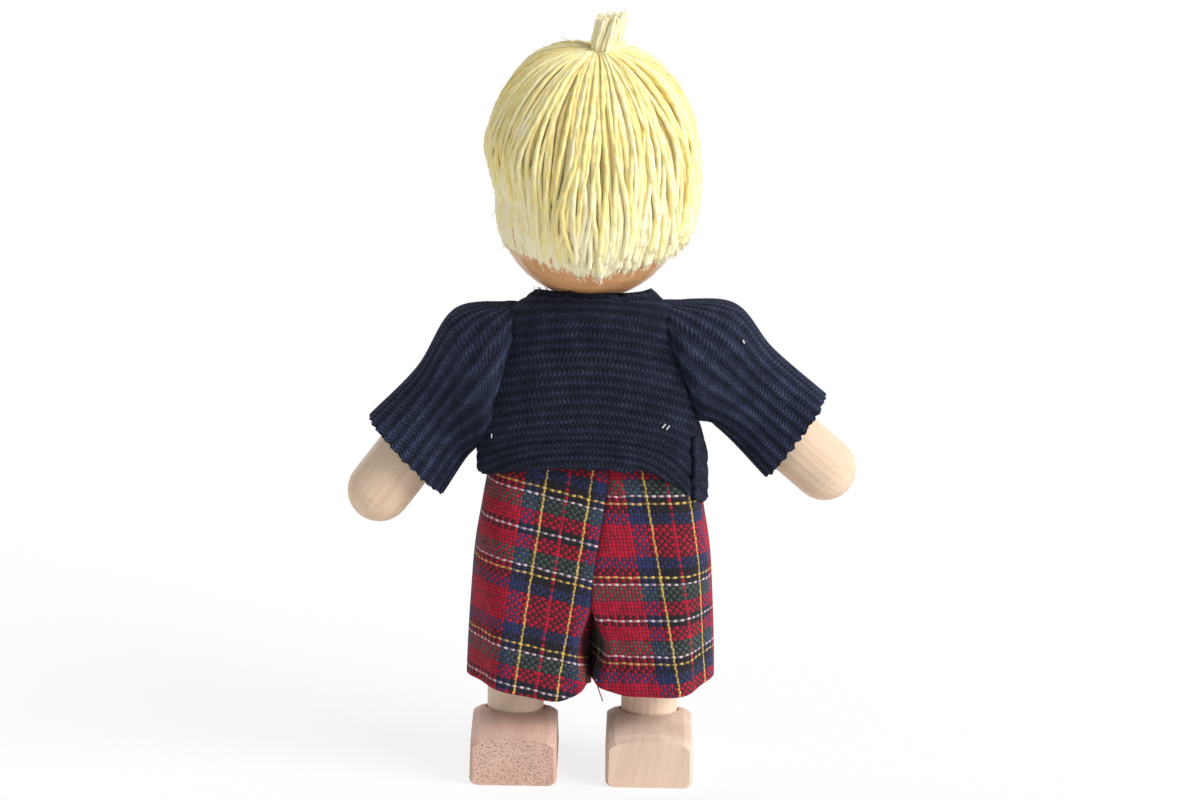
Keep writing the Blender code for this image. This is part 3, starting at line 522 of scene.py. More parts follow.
def knit_look(name, painted_light_factor):
    """UV counts stitches along a rib and ribs across."""
    look = Look(name, roughness=0.95, sheen_weight=0.06, sheen_tint=colour(110, 125, 170))
    look.fill(look.shader, {"Specular IOR Level": 0.15})
    stitch, rib, _ = look.axes(look.place("UV"))
    across = look.math("ABSOLUTE", look.minus(look.math("FRACT", rib), 0.5))
    leg = look.plus(stitch, look.times(across, 1.4))
    loop = look.math("ABSOLUTE", look.math("SINE", look.times(leg, pi)))
    # The rib's crest: 1 on its middle, 0 in the grooves, used below to paint highlight on crests and shade
    # in grooves.
    crest = look.math("POWER", look.minus(1.0, look.times(across, 2.0)), 1.6)
    fuzz = look.noise(look.place("Object"), 5200.0, 3.0, 0.7)
    patch = look.noise(look.place("Object"), 420.0)
    height = look.plus(loop, look.times(fuzz, 0.8))
    # Lighter on each stitch loop and each rib's crest, darker between them: painted highlight and painted
    # shade.
    shade = look.plus(look.times(loop, 0.25), look.times(crest, 0.34))
    shade = look.vary(look.vary(shade, fuzz, 0.5, 1.3), patch, 0.5, 0.7)
    look.bump(height, THREAD_RELIEF, 0.9)
    navy = [(0.0, (12, 15, 22)), (0.45, (32, 36, 52)), (1.0, (64, 74, 98))]
    # The factor scales the navy; above 1 it paints a lighter copy of the same knit, as painted light.
    tint = look.ramp(shade, [(stop, colour(*(painted_light_factor * part for part in tone))) for stop, tone in navy])
    # Pale blue specks: the knit's paler fibres together with painted glints on its fuzz.
    speck_and_glint = look.math("GREATER_THAN", look.noise(look.place("Object"), 9000.0, 1.0), 0.67)
    tint = look.mix(look.times(speck_and_glint, 0.3), tint, colour(84, 100, 122))
    lint = look.node("Attribute", attribute_name="tone").outputs["Fac"]
    return look.paint(look.mix(lint, tint, colour(226, 226, 220)))


THREADS = {
    "R": colour(192, 25, 56),
    "B": colour(46, 56, 102),
    "K": colour(34, 31, 37),
    "G": colour(74, 90, 84),
    "Y": colour(230, 192, 106),
    "W": colour(226, 206, 214),
}
FINE_THREADS = "YW"
# Half of each repeat, from its mirror line: thread and the count of threads up to its edge.
WARP_SETT = [("R", 0.5), ("K", 5.5), ("Y", 6.5), ("K", 7.5), ("B", 11.5), ("R", 19.5)]
WEFT_SETT = [("W", 0.5), ("K", 1.5), ("R", 5.5), ("G", 9.5), ("W", 10.5)]
WEFT_SETT += [("K", 11.5), ("Y", 12.5), ("K", 14.0), ("B", 17.0), ("R", 22.0)]


def tartan_look():
    """Plain weave. UV is the distance from each set's mirror line, in metres."""
    look = Look("tartan", roughness=0.9, sheen_weight=0.05)
    look.fill(look.shader, {"Specular IOR Level": 0.2})
    warp, weft, _ = look.axes(look.place("UV"))
    wander = look.minus(look.noise(look.place("Object"), 650.0), 0.5)
    wander = look.times(wander, 0.0004)
    warp, weft = look.plus(warp, wander), look.minus(weft, wander)

    def threads(run, pitch, sett):
        """The number of the thread, the place across it, its colour, and 1 where it is a fine one."""
        count = look.plus(look.math("DIVIDE", run, pitch), 0.5)
        number = look.math("FLOOR", count)
        within = look.minus(look.math("FRACT", count), 0.5)
        half = sett[-1][1]
        share = look.math("DIVIDE", look.math("PINGPONG", number, half), half)
        edges = [0.0] + [edge / half for _, edge in sett[:-1]]
        stops = [(edge, thread) for edge, (thread, _) in zip(edges, sett)]
        tints = [(edge, THREADS[thread]) for edge, thread in stops]
        black, white = (0, 0, 0, 1), (1, 1, 1, 1)
        fine = [(edge, white if thread in FINE_THREADS else black) for edge, thread in stops]
        return number, within, look.ramp(share, tints, "CONSTANT"), look.ramp(share, fine, "CONSTANT")

    def covers(within, fine, half, fine_half):
        """1 where a thread of this half width lies, or of the fine half width if it is a fine one."""
        edge = look.plus(half, look.times(fine, fine_half - half))
        return look.math("LESS_THAN", look.math("ABSOLUTE", within), edge)

    warp_number, warp_within, warp_tint, warp_fine = threads(warp, WARP_PITCH, WARP_SETT)
    weft_number, weft_within, weft_tint, weft_fine = threads(weft, WEFT_PITCH, WEFT_SETT)
    odd = look.math("MODULO", look.math("ABSOLUTE", look.plus(warp_number, weft_number)), 2.0)
    zigzag = look.times(look.minus(odd, 0.5), look.times(warp_fine, 0.16))
    warp_within = look.plus(warp_within, zigzag)
    over = look.math("MAXIMUM", look.math("GREATER_THAN", odd, 0.5), warp_fine)
    over = look.times(over, covers(warp_within, warp_fine, 0.42, 0.2))
    over = look.plus(look.times(over, 0.8), 0.1)
    # Where no weft thread lies, black shows: painted shade in the gaps between threads.
    weft_tint = look.mix(covers(weft_within, weft_fine, 0.48, 0.3), THREADS["K"], weft_tint)
    warp_square, weft_square = (look.times(part, part) for part in (warp_within, weft_within))
    lower = look.plus(warp_square, weft_square)
    # Dome: darker towards each thread's edges and the cells' corners, as painted shade between threads; it
    # also shapes the bump.
    dome = look.minus(1.0, look.times(lower, 2.0))
    fuzz = look.noise(look.place("Object"), 6500.0, 3.0, 0.7)
    patch = look.noise(look.place("Object"), 700.0)
    cell = look.node("CombineXYZ", {0: warp_number, 1: weft_number}).outputs[0]
    uneven = look.node("TexWhiteNoise", {"Vector": cell}).outputs[0]
    shade = look.plus(look.times(dome, 0.9), look.times(fuzz, 0.4))
    shade = look.vary(look.vary(shade, uneven, 0.6, 0.4), patch, 0.75, 0.5)
    look.bump(look.plus(dome, look.times(fuzz, 0.5)), THREAD_RELIEF, 0.9)
    shade = look.node("Clamp", {0: shade}).outputs[0]
    # Low shade mixes in black: the dome's painted shade, with the threads' random tone.
    return look.paint(look.mix(shade, THREADS["K"], look.mix(over, weft_tint, warp_tint)))


def wood_look(name, light, dark, turn=(0, 0, 0), fleck=0.12, end_pores=False, **values):
    """Fine streaks along local Z after the turn, with short dark flecks, or with pores on the sawn end."""
    look = Look(name, **({"roughness": 0.6} | values))
    place = look.place("Object")
    streak = look.noise(look.stretch(place, (1.0, 1.0, 0.06), turn), 1100.0, 3.0, 0.6)
    ring = look.noise(look.stretch(place, (1.0, 1.0, 0.1), turn), 260.0)
    dash = look.noise(look.stretch(place, (1.0, 1.0, 0.14), turn), 3400.0, 1.0)
    share = look.plus(look.times(streak, 0.6), look.times(ring, 0.6))
    tint = look.ramp(share, [(0.35, light), (0.85, dark)])
    mark = look.times(look.math("GREATER_THAN", dash, 0.6 if end_pores else 0.66), fleck)
    if end_pores:
        facing = look.math("ABSOLUTE", look.axes(look.place("Normal"))[1])
        mark = look.times(mark, look.math("GREATER_THAN", facing, 0.8))
    brown = tuple(0.45 * part for part in dark[:3]) + (1.0,)
    look.bump(streak, GRAIN_RELIEF, 0.4)
    look.paint(look.mix(mark, tint, brown))
    return look


# The painted face: x and z about the head's middle, radius and softness of each spot.
CHEEK = (0.0062, -0.0042, 0.0036, 0.0022)
EYE = (0.0040, 0.0012, 0.0021, 0.0001)
SMILE = (0.0, -0.0048, 0.0031, 0.0001)
SMILE_CUT = (0.0, -0.0036, 0.0033, 0.0001)


def head_look():
    """Varnished wood with a small painted face in front."""
    tan = colour(234, 178, 126), colour(206, 148, 100)
    varnish = {"roughness": 0.38, "coat_weight": 0.3, "coat_roughness": 0.25}
    look = wood_look("varnished_wood", *tan, fleck=0.1, **varnish)
    place = look.place("Object")
    tint = look.shader.inputs["Base Color"].links[0].from_socket

    def spot(x, z, radius, soft):
        offset = look.node("VectorMath", {0: place, 1: (HEAD[0] + x, HEAD[1] - HEAD_RADIUS, HEAD[2] + z)})
        offset.operation = "DISTANCE"
        reach = look.math("DIVIDE", look.minus(radius, offset.outputs["Value"]), soft)
        return look.node("Clamp", {0: reach}).outputs[0]

    for side in SIDES:
        cheek = look.times(spot(side * CHEEK[0], *CHEEK[1:]), 0.35)
        tint = look.mix(cheek, tint, colour(214, 104, 92))
    smile = look.times(spot(*SMILE), look.minus(1.0, spot(*SMILE_CUT)))
    tint = look.mix(smile, tint, colour(150, 52, 44))
    for side in SIDES:
        tint = look.mix(spot(side * EYE[0], *EYE[1:]), tint, colour(38, 28, 24))
    return look.paint(tint)


def head_reach(way):
    """Distance from the head's centre to its surface, along unit vectors."""
    level = np.hypot(way[..., 0], way[..., 1]) / HEAD_RADIUS
    rise = np.maximum(way[..., 2], 0) / HEAD_DOME
    dome = (level**HEAD_FULLNESS + rise**HEAD_FULLNESS) ** (-1 / HEAD_FULLNESS)
    return np.where(way[..., 2] <= 0, HEAD_RADIUS, dome)


WHORL_WAY = unit(np.array(WHORL))
WHORL_RIGHT = unit(np.cross((0, 1, 0), WHORL_WAY))
WHORL_BACK = np.cross(WHORL_WAY, WHORL_RIGHT)


def head_way(turn, fall):
    """Unit vectors at a turn round the whorl and an angle away from it."""
    turn, fall = np.asarray(turn)[..., None], np.asarray(fall)[..., None]
    level = np.cos(turn) * WHORL_RIGHT + np.sin(turn) * WHORL_BACK
    return np.cos(fall) * WHORL_WAY + np.sin(fall) * level


def hair_end(turn):
    """The angle from the whorl at which the hair ends, for one turn."""
    falls = np.linspace(*HAIR_FALLS, 400)
    way = head_way(np.full_like(falls, turn), falls)
    height = (way * head_reach(way)[:, None])[:, 2]
    back = way[:, 1] / np.hypot(way[:, 0], way[:, 1])
    behind = -HAIR_SIDE_DROP - (HAIR_BACK_DROP - HAIR_SIDE_DROP) * back**2
    front = -HAIR_SIDE_DROP + (FRINGE_RISE + HAIR_SIDE_DROP) * ease(-back)
    below = height < np.where(back > 0, behind, front)
    return falls[np.argmax(below)]


def wisps(surface, rng, places, ways, length, tone):
    """Fine stray fibres that start at these places and lead off these ways."""
    for place, way in zip(places, unit(ways)):
        reach = length * rng.uniform(0.5, 1.2)
        curl = unit(rng.normal(size=3))
        share = np.linspace(0, 1, WISP_STEPS)[:, None]
        path = place + reach * (way * share + WISP_CURL * curl * share**2)
        surface.tube(path, np.cross(way, curl), WISP_RADIUS, WISP_SIDES, tone)


def strand(surface, rng, turn, start, end, lift, parting, tone):
    """One yarn from the whorl to the hair's edge, with its lift over the head at crown, middle and tip."""
    count = max(LEAST_STEPS, int((end - start) * STRAND_REACH * HEAD_RADIUS / STRAND_STEP))
    share = np.linspace(0, 1, count)
    fall = start + (end - start) * share
    lock = LOCK_SWAY * (np.sin(9 * turn + 3 * fall) + 0.7 * np.sin(23 * turn - 2 * fall))
    sideways = (lock + waver(rng, count, 24, STRAND_SWAY)) * np.minimum(1, 2 * share)
    sideways = sideways * (0.4 + 0.6 * parting)
    from_parting = (turn - PARTING_TURN) / PARTING_WIDTH
    parted = parting * PARTING_PUSH * from_parting * np.exp(-(from_parting**2))
    parted = parted * ease(fall / PARTING_FALLS[0]) * (1 - ease(fall / PARTING_FALLS[1]))
    turns = turn + parted + sideways / (HEAD_RADIUS * np.maximum(np.sin(fall), 0.25))
    way = head_way(turns, fall)
    height, lean = np.interp(share, LIFT_AT, lift), np.interp(share, LEAN_AT, HAIR_LEAN)
    lean = lean * way[:, 0] * np.where(way[:, 0] > 0, 1, LEAN_OUT)
    height = np.maximum(height - lean, HAIR_SINK) + waver(rng, count, 14, STRAND_WAVE)
    path = HEAD + way * (head_reach(way) + height)[:, None]
    radius = STRAND_RADIUS * np.interp(fall, *CROWN_TAPER) * (1 + waver(rng, count, 8, 0.07))
    radius = radius * np.interp(share, *TIP_TAPER)
    surface.tube(path, way, radius, STRAND_SIDES, (tone + TIP_PALER * share**3)[:, None], STRAND_LOBE)
    ends = path[-1] + rng.normal(0, 0.4 * STRAND_RADIUS, (TIP_WISPS, 3))
    ways = path[-1] - path[-4] + rng.normal(0, 0.0004, (TIP_WISPS, 3))
    wisps(surface, rng, ends, ways, TIP_WISP_LENGTH, 1.0)
    at = rng.integers(4, count - 3, 1)
    ways = unit(path[at + 2] - path[at]) + 0.12 * way[at] + rng.normal(0, 0.12, (1, 3))
    wisps(surface, rng, path[at] + way[at] * STRAND_RADIUS * 0.8, ways, STRAY_LENGTH, tone)


def hair(look):
    rng = np.random.default_rng(7)
    cap = Surface()
    for count, start, shorter, lift, parting, tone in HAIR_LAYERS:
        for k in range(count):
            turn = TAU * (k + rng.uniform(-0.6, 0.6)) / count
            end = hair_end(turn) - rng.uniform(*shorter)
            rise = np.array(lift) + rng.normal(0, LIFT_SPREAD)
            strand(cap, rng, turn, rng.uniform(*start), end, rise, parting, rng.uniform(*tone))
    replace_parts(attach(cap.piece("hair_yarn", look, "yarn"), "head"), "hair")


def tuft(look, thread):
    """The tied yarn ends that stand up at the whorl, and the thread round their foot."""
    rng = np.random.default_rng(11)
    ends = Surface()
    foot = HEAD + WHORL_WAY * (head_reach(WHORL_WAY) + 0.0004) + (TUFT_ASIDE, 0, 0)
    lean = unit(np.array(TUFT_LEAN))
    right = unit(np.cross((0, 1, 0), lean))
    back = np.cross(lean, right)
    for k in range(TUFT_STRANDS):
        turn, far = k * TUFT_TURN, np.sqrt((k + 0.5) / TUFT_STRANDS)
        around = np.cos(turn) * right + np.sin(turn) * back
        height = TUFT_HEIGHT - TUFT_SLANT * far * np.cos(turn) + rng.uniform(-0.0003, 0.0003)
        share = np.linspace(0, 1, 16)[:, None]
        spread = far * (TUFT_RADIUS + TUFT_FLARE * ease(2 * share))
        bend = rng.normal(0, 0.0002, 3) * share**2
        path = foot + lean * height * share + around * spread + bend
        radius = STRAND_RADIUS * np.interp(share[:, 0], *TUFT_TAPER)
        tone = rng.uniform(0.8, 1.2)
        ends.tube(path, right, radius, STRAND_SIDES, tone, STRAND_LOBE)
        tips = path[-1] + rng.normal(0, 0.5 * STRAND_RADIUS, (TUFT_WISPS, 3))
        wisps(ends, rng, tips, lean + rng.normal(0, 0.3, (TUFT_WISPS, 3)), TUFT_WISP_LENGTH, 1.0)
    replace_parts(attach(ends.piece("hair_tuft_yarn", look, "yarn"), "head"), "hair_tuft")
    tie = Surface()
    turn = np.linspace(0, TIE_TURNS * TAU, 90)[:, None]
    around = np.cos(turn) * right + np.sin(turn) * back
    coil = foot + around * TIE_RADIUS + lean * (TIE_THREAD + TIE_PITCH * turn / TAU)
    tie.tube(coil, lean, TIE_THREAD, 6)
    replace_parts(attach(tie.piece("hair_tie_thread", thread, "thread"), "head"), "hair_tie")


def sweater_rings(inset, rows, columns):
    """Rings of the sweater's body from hem to neckline, about the doll's middle."""
    stations = [
        # height, half width, half depth, squareness
        (HEM_RISE, 0.0160, 0.0106, 3.0),
        (0.0543, 0.0161, 0.0104, 3.0),
        (0.0610, 0.0142, 0.0090, 3.0),
        (0.0661, 0.0117, 0.0086, 2.7),
        (0.0688, 0.0086, 0.0068, 2.3),
    ]
    turn = once_round(columns)
    rings = []
    for z, half_width, half_depth, squareness in evenly(through(stations), rows):
        x, y = oval(half_width - inset, half_depth - inset, squareness, turn)
        low = 1 - ease((z - HEM_RISE) / HEM_DIP_RISE)
        right_dip, left_dip = (low * ease(way * np.cos(turn)) ** 2 for way in (-1, 1))
        scoop = NECK_SCOOP * ease((z - NECK_SCOOP_AT) / NECK_SCOOP_RISE) * ease(0.5 - y / half_depth)
        height = z - HEM_DIP[-1] * right_dip - HEM_DIP[1] * left_dip - scoop
        ring = np.stack([x - HEM_DIP_ASIDE * right_dip, y, height], 1)
        rings.append(evenly(ring, columns, closed=True))
    return np.array(rings)


def armhole_dish(points, inset):
    """Draws the sides in to the cone that the arm sweeps, so that the armholes stay closed."""
    shoulder = joint_point("shoulder_swing_left")[2]
    reach = np.hypot(points[..., 1], points[..., 2] - shoulder)
    limit = SHOULDER_SPREAD - DISH_DEPTH - inset + reach * np.tan(DISH_SLOPE)
    points[..., 0] = np.clip(points[..., 0], -limit, limit)
    return points


def spot_on(rings, x, z):
    """The point on the back of a garment at this x and z, and its normal."""
    skin, normals = rings.reshape(-1, 3), outward(rings).reshape(-1, 3)
    off = np.hypot(skin[:, 0] - x, skin[:, 2] - z) + (skin[:, 1] < MIDDLE[1])
    return skin[np.argmin(off)], normals[np.argmin(off)]


def lint(surface, rings, spots):
    """Pale flecks caught in the knit, each at x and z, with its lean and its length."""
    for x, z, lean, length in spots:
        place, normal = spot_on(rings, x, z)
        way = np.array([sin(lean), 0.0, cos(lean)])
        path = place + LINT_LIFT * normal + way * length * np.linspace(-0.5, 0.5, 6)[:, None]
        surface.tube(path, normal, LINT_RADIUS, 4, 1.0)


def side_seam(surface, rng, rings):
    """The raw seam allowance that shows along the doll's right side, from armpit to hem."""
    column = np.argmin(np.hypot(rings[0, :, 0] - SEAM_AT[0], rings[0, :, 1] - SEAM_AT[1]))
    rows = np.arange(0, len(rings), 2)
    rows = rows[rings[rows, column, 2] < SEAM_TOP]
    middle, normal = rings[rows, column], outward(rings)[rows, column]
    side = unit(np.cross(normal, np.gradient(middle, axis=0)))
    wide = SEAM_HALF_WIDTH + waver(rng, len(rows), 4, 0.00016)
    turn = (TAU * np.arange(SEAM_SIDES) / SEAM_SIDES)[None, :, None]
    ring = np.cos(turn) * (wide[:, None] * side)[:, None]
    ring = ring + np.sin(turn) * SEAM_HALF_HEIGHT * normal[:, None]
    around = np.broadcast_to(np.arange(SEAM_SIDES + 1) / 4, (len(rows), SEAM_SIDES + 1))
    up = np.broadcast_to(lengths(middle)[:, None] / STITCH_PITCH, around.shape)
    surface.grid((middle + SEAM_LIFT * normal)[:, None] + ring, np.stack([up, around], 2), caps=True)


def sweater_body(look):
    rng = np.random.default_rng(3)
    rows, columns = SWEATER_GRID
    outer = sweater_rings(0, rows, columns)
    run = lengths(outer[:, 0])[:, None]
    arch = np.where(outer[..., 0] > 0, RIB_ARCH[1], RIB_ARCH[-1])
    rise = arch * (outer[..., 0] / RIB_ARCH_REACH) ** 2
    rib = (run + rise) / RIB_PITCH + waver(rng, columns, 60, 0.08)
    crest = np.abs(np.sin(pi * rib)) ** RIB_FULLNESS
    groove = np.rint(rib).astype(int)
    depth = RIB_DEPTH * rng.uniform(0.5, 1.2, 40)[groove] * np.where(groove % 2, 0.7, 1.4)
    outer += outward(outer) * (depth * (crest - 1))[..., None]
    hem = waver(rng, columns, *HEM_WAVES[0]) + waver(rng, columns, *HEM_WAVES[1])
    outer[:, :, 2] += hem * (1 - ease(run / HEM_EDGE))
    neck = waver(np.random.default_rng(5), columns, *NECK_WAVES[0])
    neck = neck + waver(np.random.default_rng(6), columns, *NECK_WAVES[1])
    outer[:, :, 2] += neck * ease((run - run[-1] + NECK_EDGE) / NECK_EDGE)
    inner = sweater_rings(KNIT_THICKNESS, SWEATER_LINING_ROWS, columns)[::-1]
    shell = np.concatenate([armhole_dish(outer, 0), armhole_dish(inner, DISH_LINING)])
    shell = shell + MIDDLE + (SWEATER_ASIDE, 0, 0)
    around = ring_uv(np.concatenate([outer, inner]))[..., 0] / STITCH_PITCH
    lining = np.linspace(rib.max(), 0, SWEATER_LINING_ROWS)[:, None] * np.ones((1, columns))
    ribs = np.concatenate([rib, lining])
    ribs = np.concatenate([ribs, ribs[:, :1]], 1)
    body = Surface()
    body.grid(shell, np.stack([around, ribs], 2), looped=True)
    knitted = shell[:rows]
    side_seam(body, rng, knitted)
    lint(body, knitted, BODY_LINT)
    corner, normal = spot_on(knitted, *FRAYED_AT)
    frayed = corner + rng.normal(0, 1, (FRAYED_WISPS, 3)) * FRAYED_SPREAD
    ways = normal + (0.4, 0, 0.5) + rng.normal(0, 0.7, (FRAYED_WISPS, 3))
    wisps(body, rng, frayed, ways, FRAYED_LENGTH, 0.0)
    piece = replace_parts(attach(body.piece("sweater_knit", look, "navy_knit"), "torso"), "sweater_body")


def sleeve_rings(side, grow, rows, columns):
    """Rings from armhole to cuff about the shoulder."""
    out = ARM_OUT[side]
    along, above = np.array([sin(out), -cos(out)]), np.array([cos(out), sin(out)])

    def edges(*places):
        return np.concatenate([along * far + above * high for far, high in places])

    top, armpit = np.array(ARMHOLE_TOP[side]), np.array(ARMPIT[side])
    inward = np.array([-SLEEVE_SINK, 0])
    outline = [
        (*(top + inward), *(armpit + inward)),
        (*top, *armpit),
        (*edges(SLEEVE_CAP[side]), *(armpit + along * SLEEVE_GUSSET)),
        edges(*SLEEVE_MIDDLE[side]),
        edges(*SLEEVE_CUFF[side]),
    ]
    stations = np.column_stack([outline, SLEEVE_HALF_DEPTHS])
    turn = once_round(columns)
    rings = []
    for top_x, top_z, low_x, low_z, half_depth in evenly(through(stations), rows):
        high, low = np.array([top_x, top_z]), np.array([low_x, low_z])
        middle, half = (high + low) / 2, (high - low) / 2
        half = half * (1 + grow / np.linalg.norm(half))
        up, y = oval(1, half_depth + grow, SLEEVE_SQUARENESS, turn)
        flat = middle + half * up[:, None]
        rings.append(evenly(np.stack([side * flat[:, 0], y, flat[:, 1]], 1), columns, closed=True))
    return np.array(rings)


def sleeve_root(side, ring):
    """Rows that draw the sleeve in to a hub on the swing axis, and keep the armhole filled."""
    depth, radius = SLEEVE_HUB
    reach = np.hypot(ring[:, 1], ring[:, 2])[:, None]
    hub = np.concatenate([np.full_like(reach, -side * depth), ring[:, 1:] * radius / reach], 1)
    return hub + (ring - hub) * np.linspace(0, 1, SLEEVE_ROOT_ROWS, endpoint=False)[:, None, None]


def rib_share(side, rings):
    """How far round the cuff the rib through each point lies, by its angle round the arm."""
    columns = rings.shape[1]
    half = columns // 2 + 1
    above = side * cos(ARM_OUT[side]) * rings[..., 0] + sin(ARM_OUT[side]) * rings[..., 2]
    angle = np.arctan2(np.abs(rings[..., 1]), above - above[-1].mean())
    share = np.interp(angle, angle[-1, :half], np.arange(half) / columns)
    return np.where(rings[..., 1] >= 0, share, 1 - share)


def sleeve(side, look):
    name = SIDES[side]
    rng = np.random.default_rng(20 + side)
    rows, columns = SLEEVE_GRID
    outer = sleeve_rings(side, 0, rows, columns)
    ribs = rib_share(side, outer) * SLEEVE_RIBS
    crest = np.abs(np.sin(pi * ribs)) ** RIB_FULLNESS
    sign = np.sign((outward(outer) * (outer - outer.mean(1, keepdims=True))).sum())
    outer += sign * outward(outer) * (SLEEVE_RIB_DEPTH * (crest - 1))[..., None]
    run = lengths(outer[:, 0])
    way = unit(outer[-1].mean(0) - outer[-12].mean(0))
    loops = CUFF_LOOP * (crest[-1] - 0.6) + waver(rng, columns, 5, 0.0001)
    outer += way * (loops * ease((run[:, None] - run[-1] + CUFF_EDGE) / CUFF_EDGE))[..., None]
    root = sleeve_root(side, outer[0])
    inner = sleeve_rings(side, -KNIT_THICKNESS, SLEEVE_LINING_ROWS, columns)[::-1]
    shoulder = joint_point(f"shoulder_swing_{name}")
    lining = ribs[-1:].repeat(SLEEVE_LINING_ROWS, 0)
    across = np.concatenate([ribs[:1].repeat(len(root), 0), ribs, lining])
    across = np.concatenate([across, SLEEVE_RIBS - across[:, :1]], 1)
    inside = np.linspace(-np.linalg.norm(root[0, 0] - outer[0, 0]), 0, len(root), endpoint=False)
    back_in = np.linspace(run[-1], 0, SLEEVE_LINING_ROWS)
    stitches = np.concatenate([inside, run, back_in])[:, None] / STITCH_PITCH
    uv = np.stack([np.broadcast_to(stitches, across.shape), across], 2)
    tube = Surface()
    tube.grid(np.concatenate([root, outer, inner]) + shoulder, uv, looped=True)
    lint(tube, outer + shoulder, SLEEVE_LINT[side])
    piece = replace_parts(tube.piece(f"sleeve_knit_{name}", look, "navy_knit"), f"sleeve_{name}")
    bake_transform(piece)


def shorts_rings(side, inset, rows, columns):
    """Rings of one leg about its hip, from waist to hem.

    After each point come its distances across and down the cloth.
    """
    stations = [
        # height, half width, half depth
        (SHORTS_TOP, 0.0140, 0.0081),
        (0.0032, 0.0153, 0.0092),
        (-0.0050, SHORTS_HALF_WIDTH[side] - 0.0004, SHORTS_HALF_DEPTH),
        (-SHORTS_LENGTH[side], SHORTS_HALF_WIDTH[side], SHORTS_HALF_DEPTH),
    ]
    turn = once_round(columns)
    rings = []
    for z, half_width, half_depth in evenly(through(stations), rows):
        down = ease((SHORTS_TOP - z) / (SHORTS_TOP + SHORTS_LENGTH[side]))
        parted = ease((-CROTCH_DROP / 2 - z) / CROTCH_DROP)
        seam = SEAM_ASIDE * ease((z + CROTCH_DROP) / (SHORTS_TOP + CROTCH_DROP))
        middle, half = (side * half_width + seam) / 2, (half_width - side * seam) / 2 + SEAM_LAP - inset
        outer = oval(half, half_depth - inset, WAIST_SQUARENESS - HEM_ROUNDER * down, turn)
        inner = oval(half, half_depth - inset, SEAM_SQUARENESS - CROTCH_ROUNDER * parted, turn)
        x, y = (np.where(outer[0] >= 0, a, b) for a, b in zip(outer, inner))
        outside = ease((FOLD_REACH + np.cos(turn)) / FOLD_REACH)
        fold = 1 + down**2 * outside * FOLD_DEPTH / half * np.cos(FOLDS * turn)
        opening, closing = (ease((start - z) / height) for start, height in (WEDGE_OPENS, WEDGE_CLOSES))
        open_here = opening - WEDGE_CLOSED * closing
        wedge = WEDGE[side] * open_here * ease(0.2 + np.abs(y) / half_depth) * ease(-x / half)
        lift_in = HEM_LIFT_IN[side] * (HEM_LIFT_LEAST + (1 - HEM_LIFT_LEAST) * np.abs(y) / half_depth)
        lift = down**3 * (x / half) ** 4 * np.where(x >= 0, HEM_LIFT_OUT[side], lift_in)
        tilt = down**3 * x / half * HEM_TILT[side]
        across = middle + side * (x * fold + wedge)
        ring = np.stack([across - side * HIP_SPREAD, y * fold, z + lift + tilt], 1)
        run = lengths(ring)
        quarter = len(turn) // 4
        warp = side * middle + np.where(turn <= pi, run[quarter] - run, run - run[3 * quarter])
        weft = SHORTS_TOP - z - tilt - np.where(x >= 0, WEFT_SAG[side] * (half_depth - np.abs(y)), lift)
        rings.append(evenly(np.column_stack([ring, warp, weft]), columns, closed=True))
    return np.array(rings)


def shorts_leg(side, look):
    name = SIDES[side]
    rows, columns = SHORTS_GRID
    outer = shorts_rings(side, 0, rows, columns)
    inner = shorts_rings(side, CLOTH_THICKNESS, SHORTS_LINING_ROWS, columns)[::-1]
    rings = np.concatenate([outer, inner])
    rings = np.concatenate([rings, rings[:, :1]], 1)
    across, down = rings[..., 3], rings[..., 4]
    across[:, -1] = 2 * across[:, -2] - across[:, -3]
    warp = across - TARTAN_AT[side][0] - WARP_SLANT[side] * (down - TARTAN_PIVOT[1])
    weft = down - TARTAN_AT[side][1] + WEFT_TILT[side] * (across - TARTAN_PIVOT[0])
    hip = joint_point(f"hip_swing_{name}")
    leg = Surface()
    leg.grid(rings[:, :-1, :3] + hip + (SHORTS_ASIDE, 0, 0), np.stack([warp, weft], 2), looped=True)
    if side < 0:
        loose = evenly(through(LOOSE_THREAD), 9)
        leg.tube(loose, np.array([0.0, 1.0, 0.0]), LOOSE_THREAD_RADIUS, 6)
    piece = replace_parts(leg.piece(f"shorts_cloth_{name}", look, "tartan"), f"shorts_{name}")
    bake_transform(piece)


def waistband(look):
    """The gathered top of the shorts, under the sweater."""
    turn = once_round(BAND_COLUMNS)

    def ring(inset, z):
        x, y = oval(BAND_HALF_WIDTH - inset, BAND_HALF_DEPTH - inset, BAND_SQUARENESS, turn)
        return evenly(np.stack([x, y, np.full_like(x, z)], 1), BAND_COLUMNS, closed=True)

    rises = np.linspace(*BAND_RISE, BAND_ROWS)
    rings = np.array([ring(0, z) for z in rises] + [ring(CLOTH_THICKNESS, z) for z in rises[::-1]])
    gather = GATHER_DEPTH * np.cos(GATHERS * TAU * np.arange(BAND_COLUMNS) / BAND_COLUMNS)
    rings += outward(rings) * gather[None, :, None]
    band = Surface()
    band.grid(rings + MIDDLE, ring_uv(rings), looped=True)
    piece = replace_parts(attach(band.piece("waistband_cloth", look, "tartan"), "torso"), "shorts_waist")


def wear(names, look):
    for name in names:
        nodes[name].data.materials.clear()
        nodes[name].data.materials.append(look)
        nodes[name].data.shade_smooth()


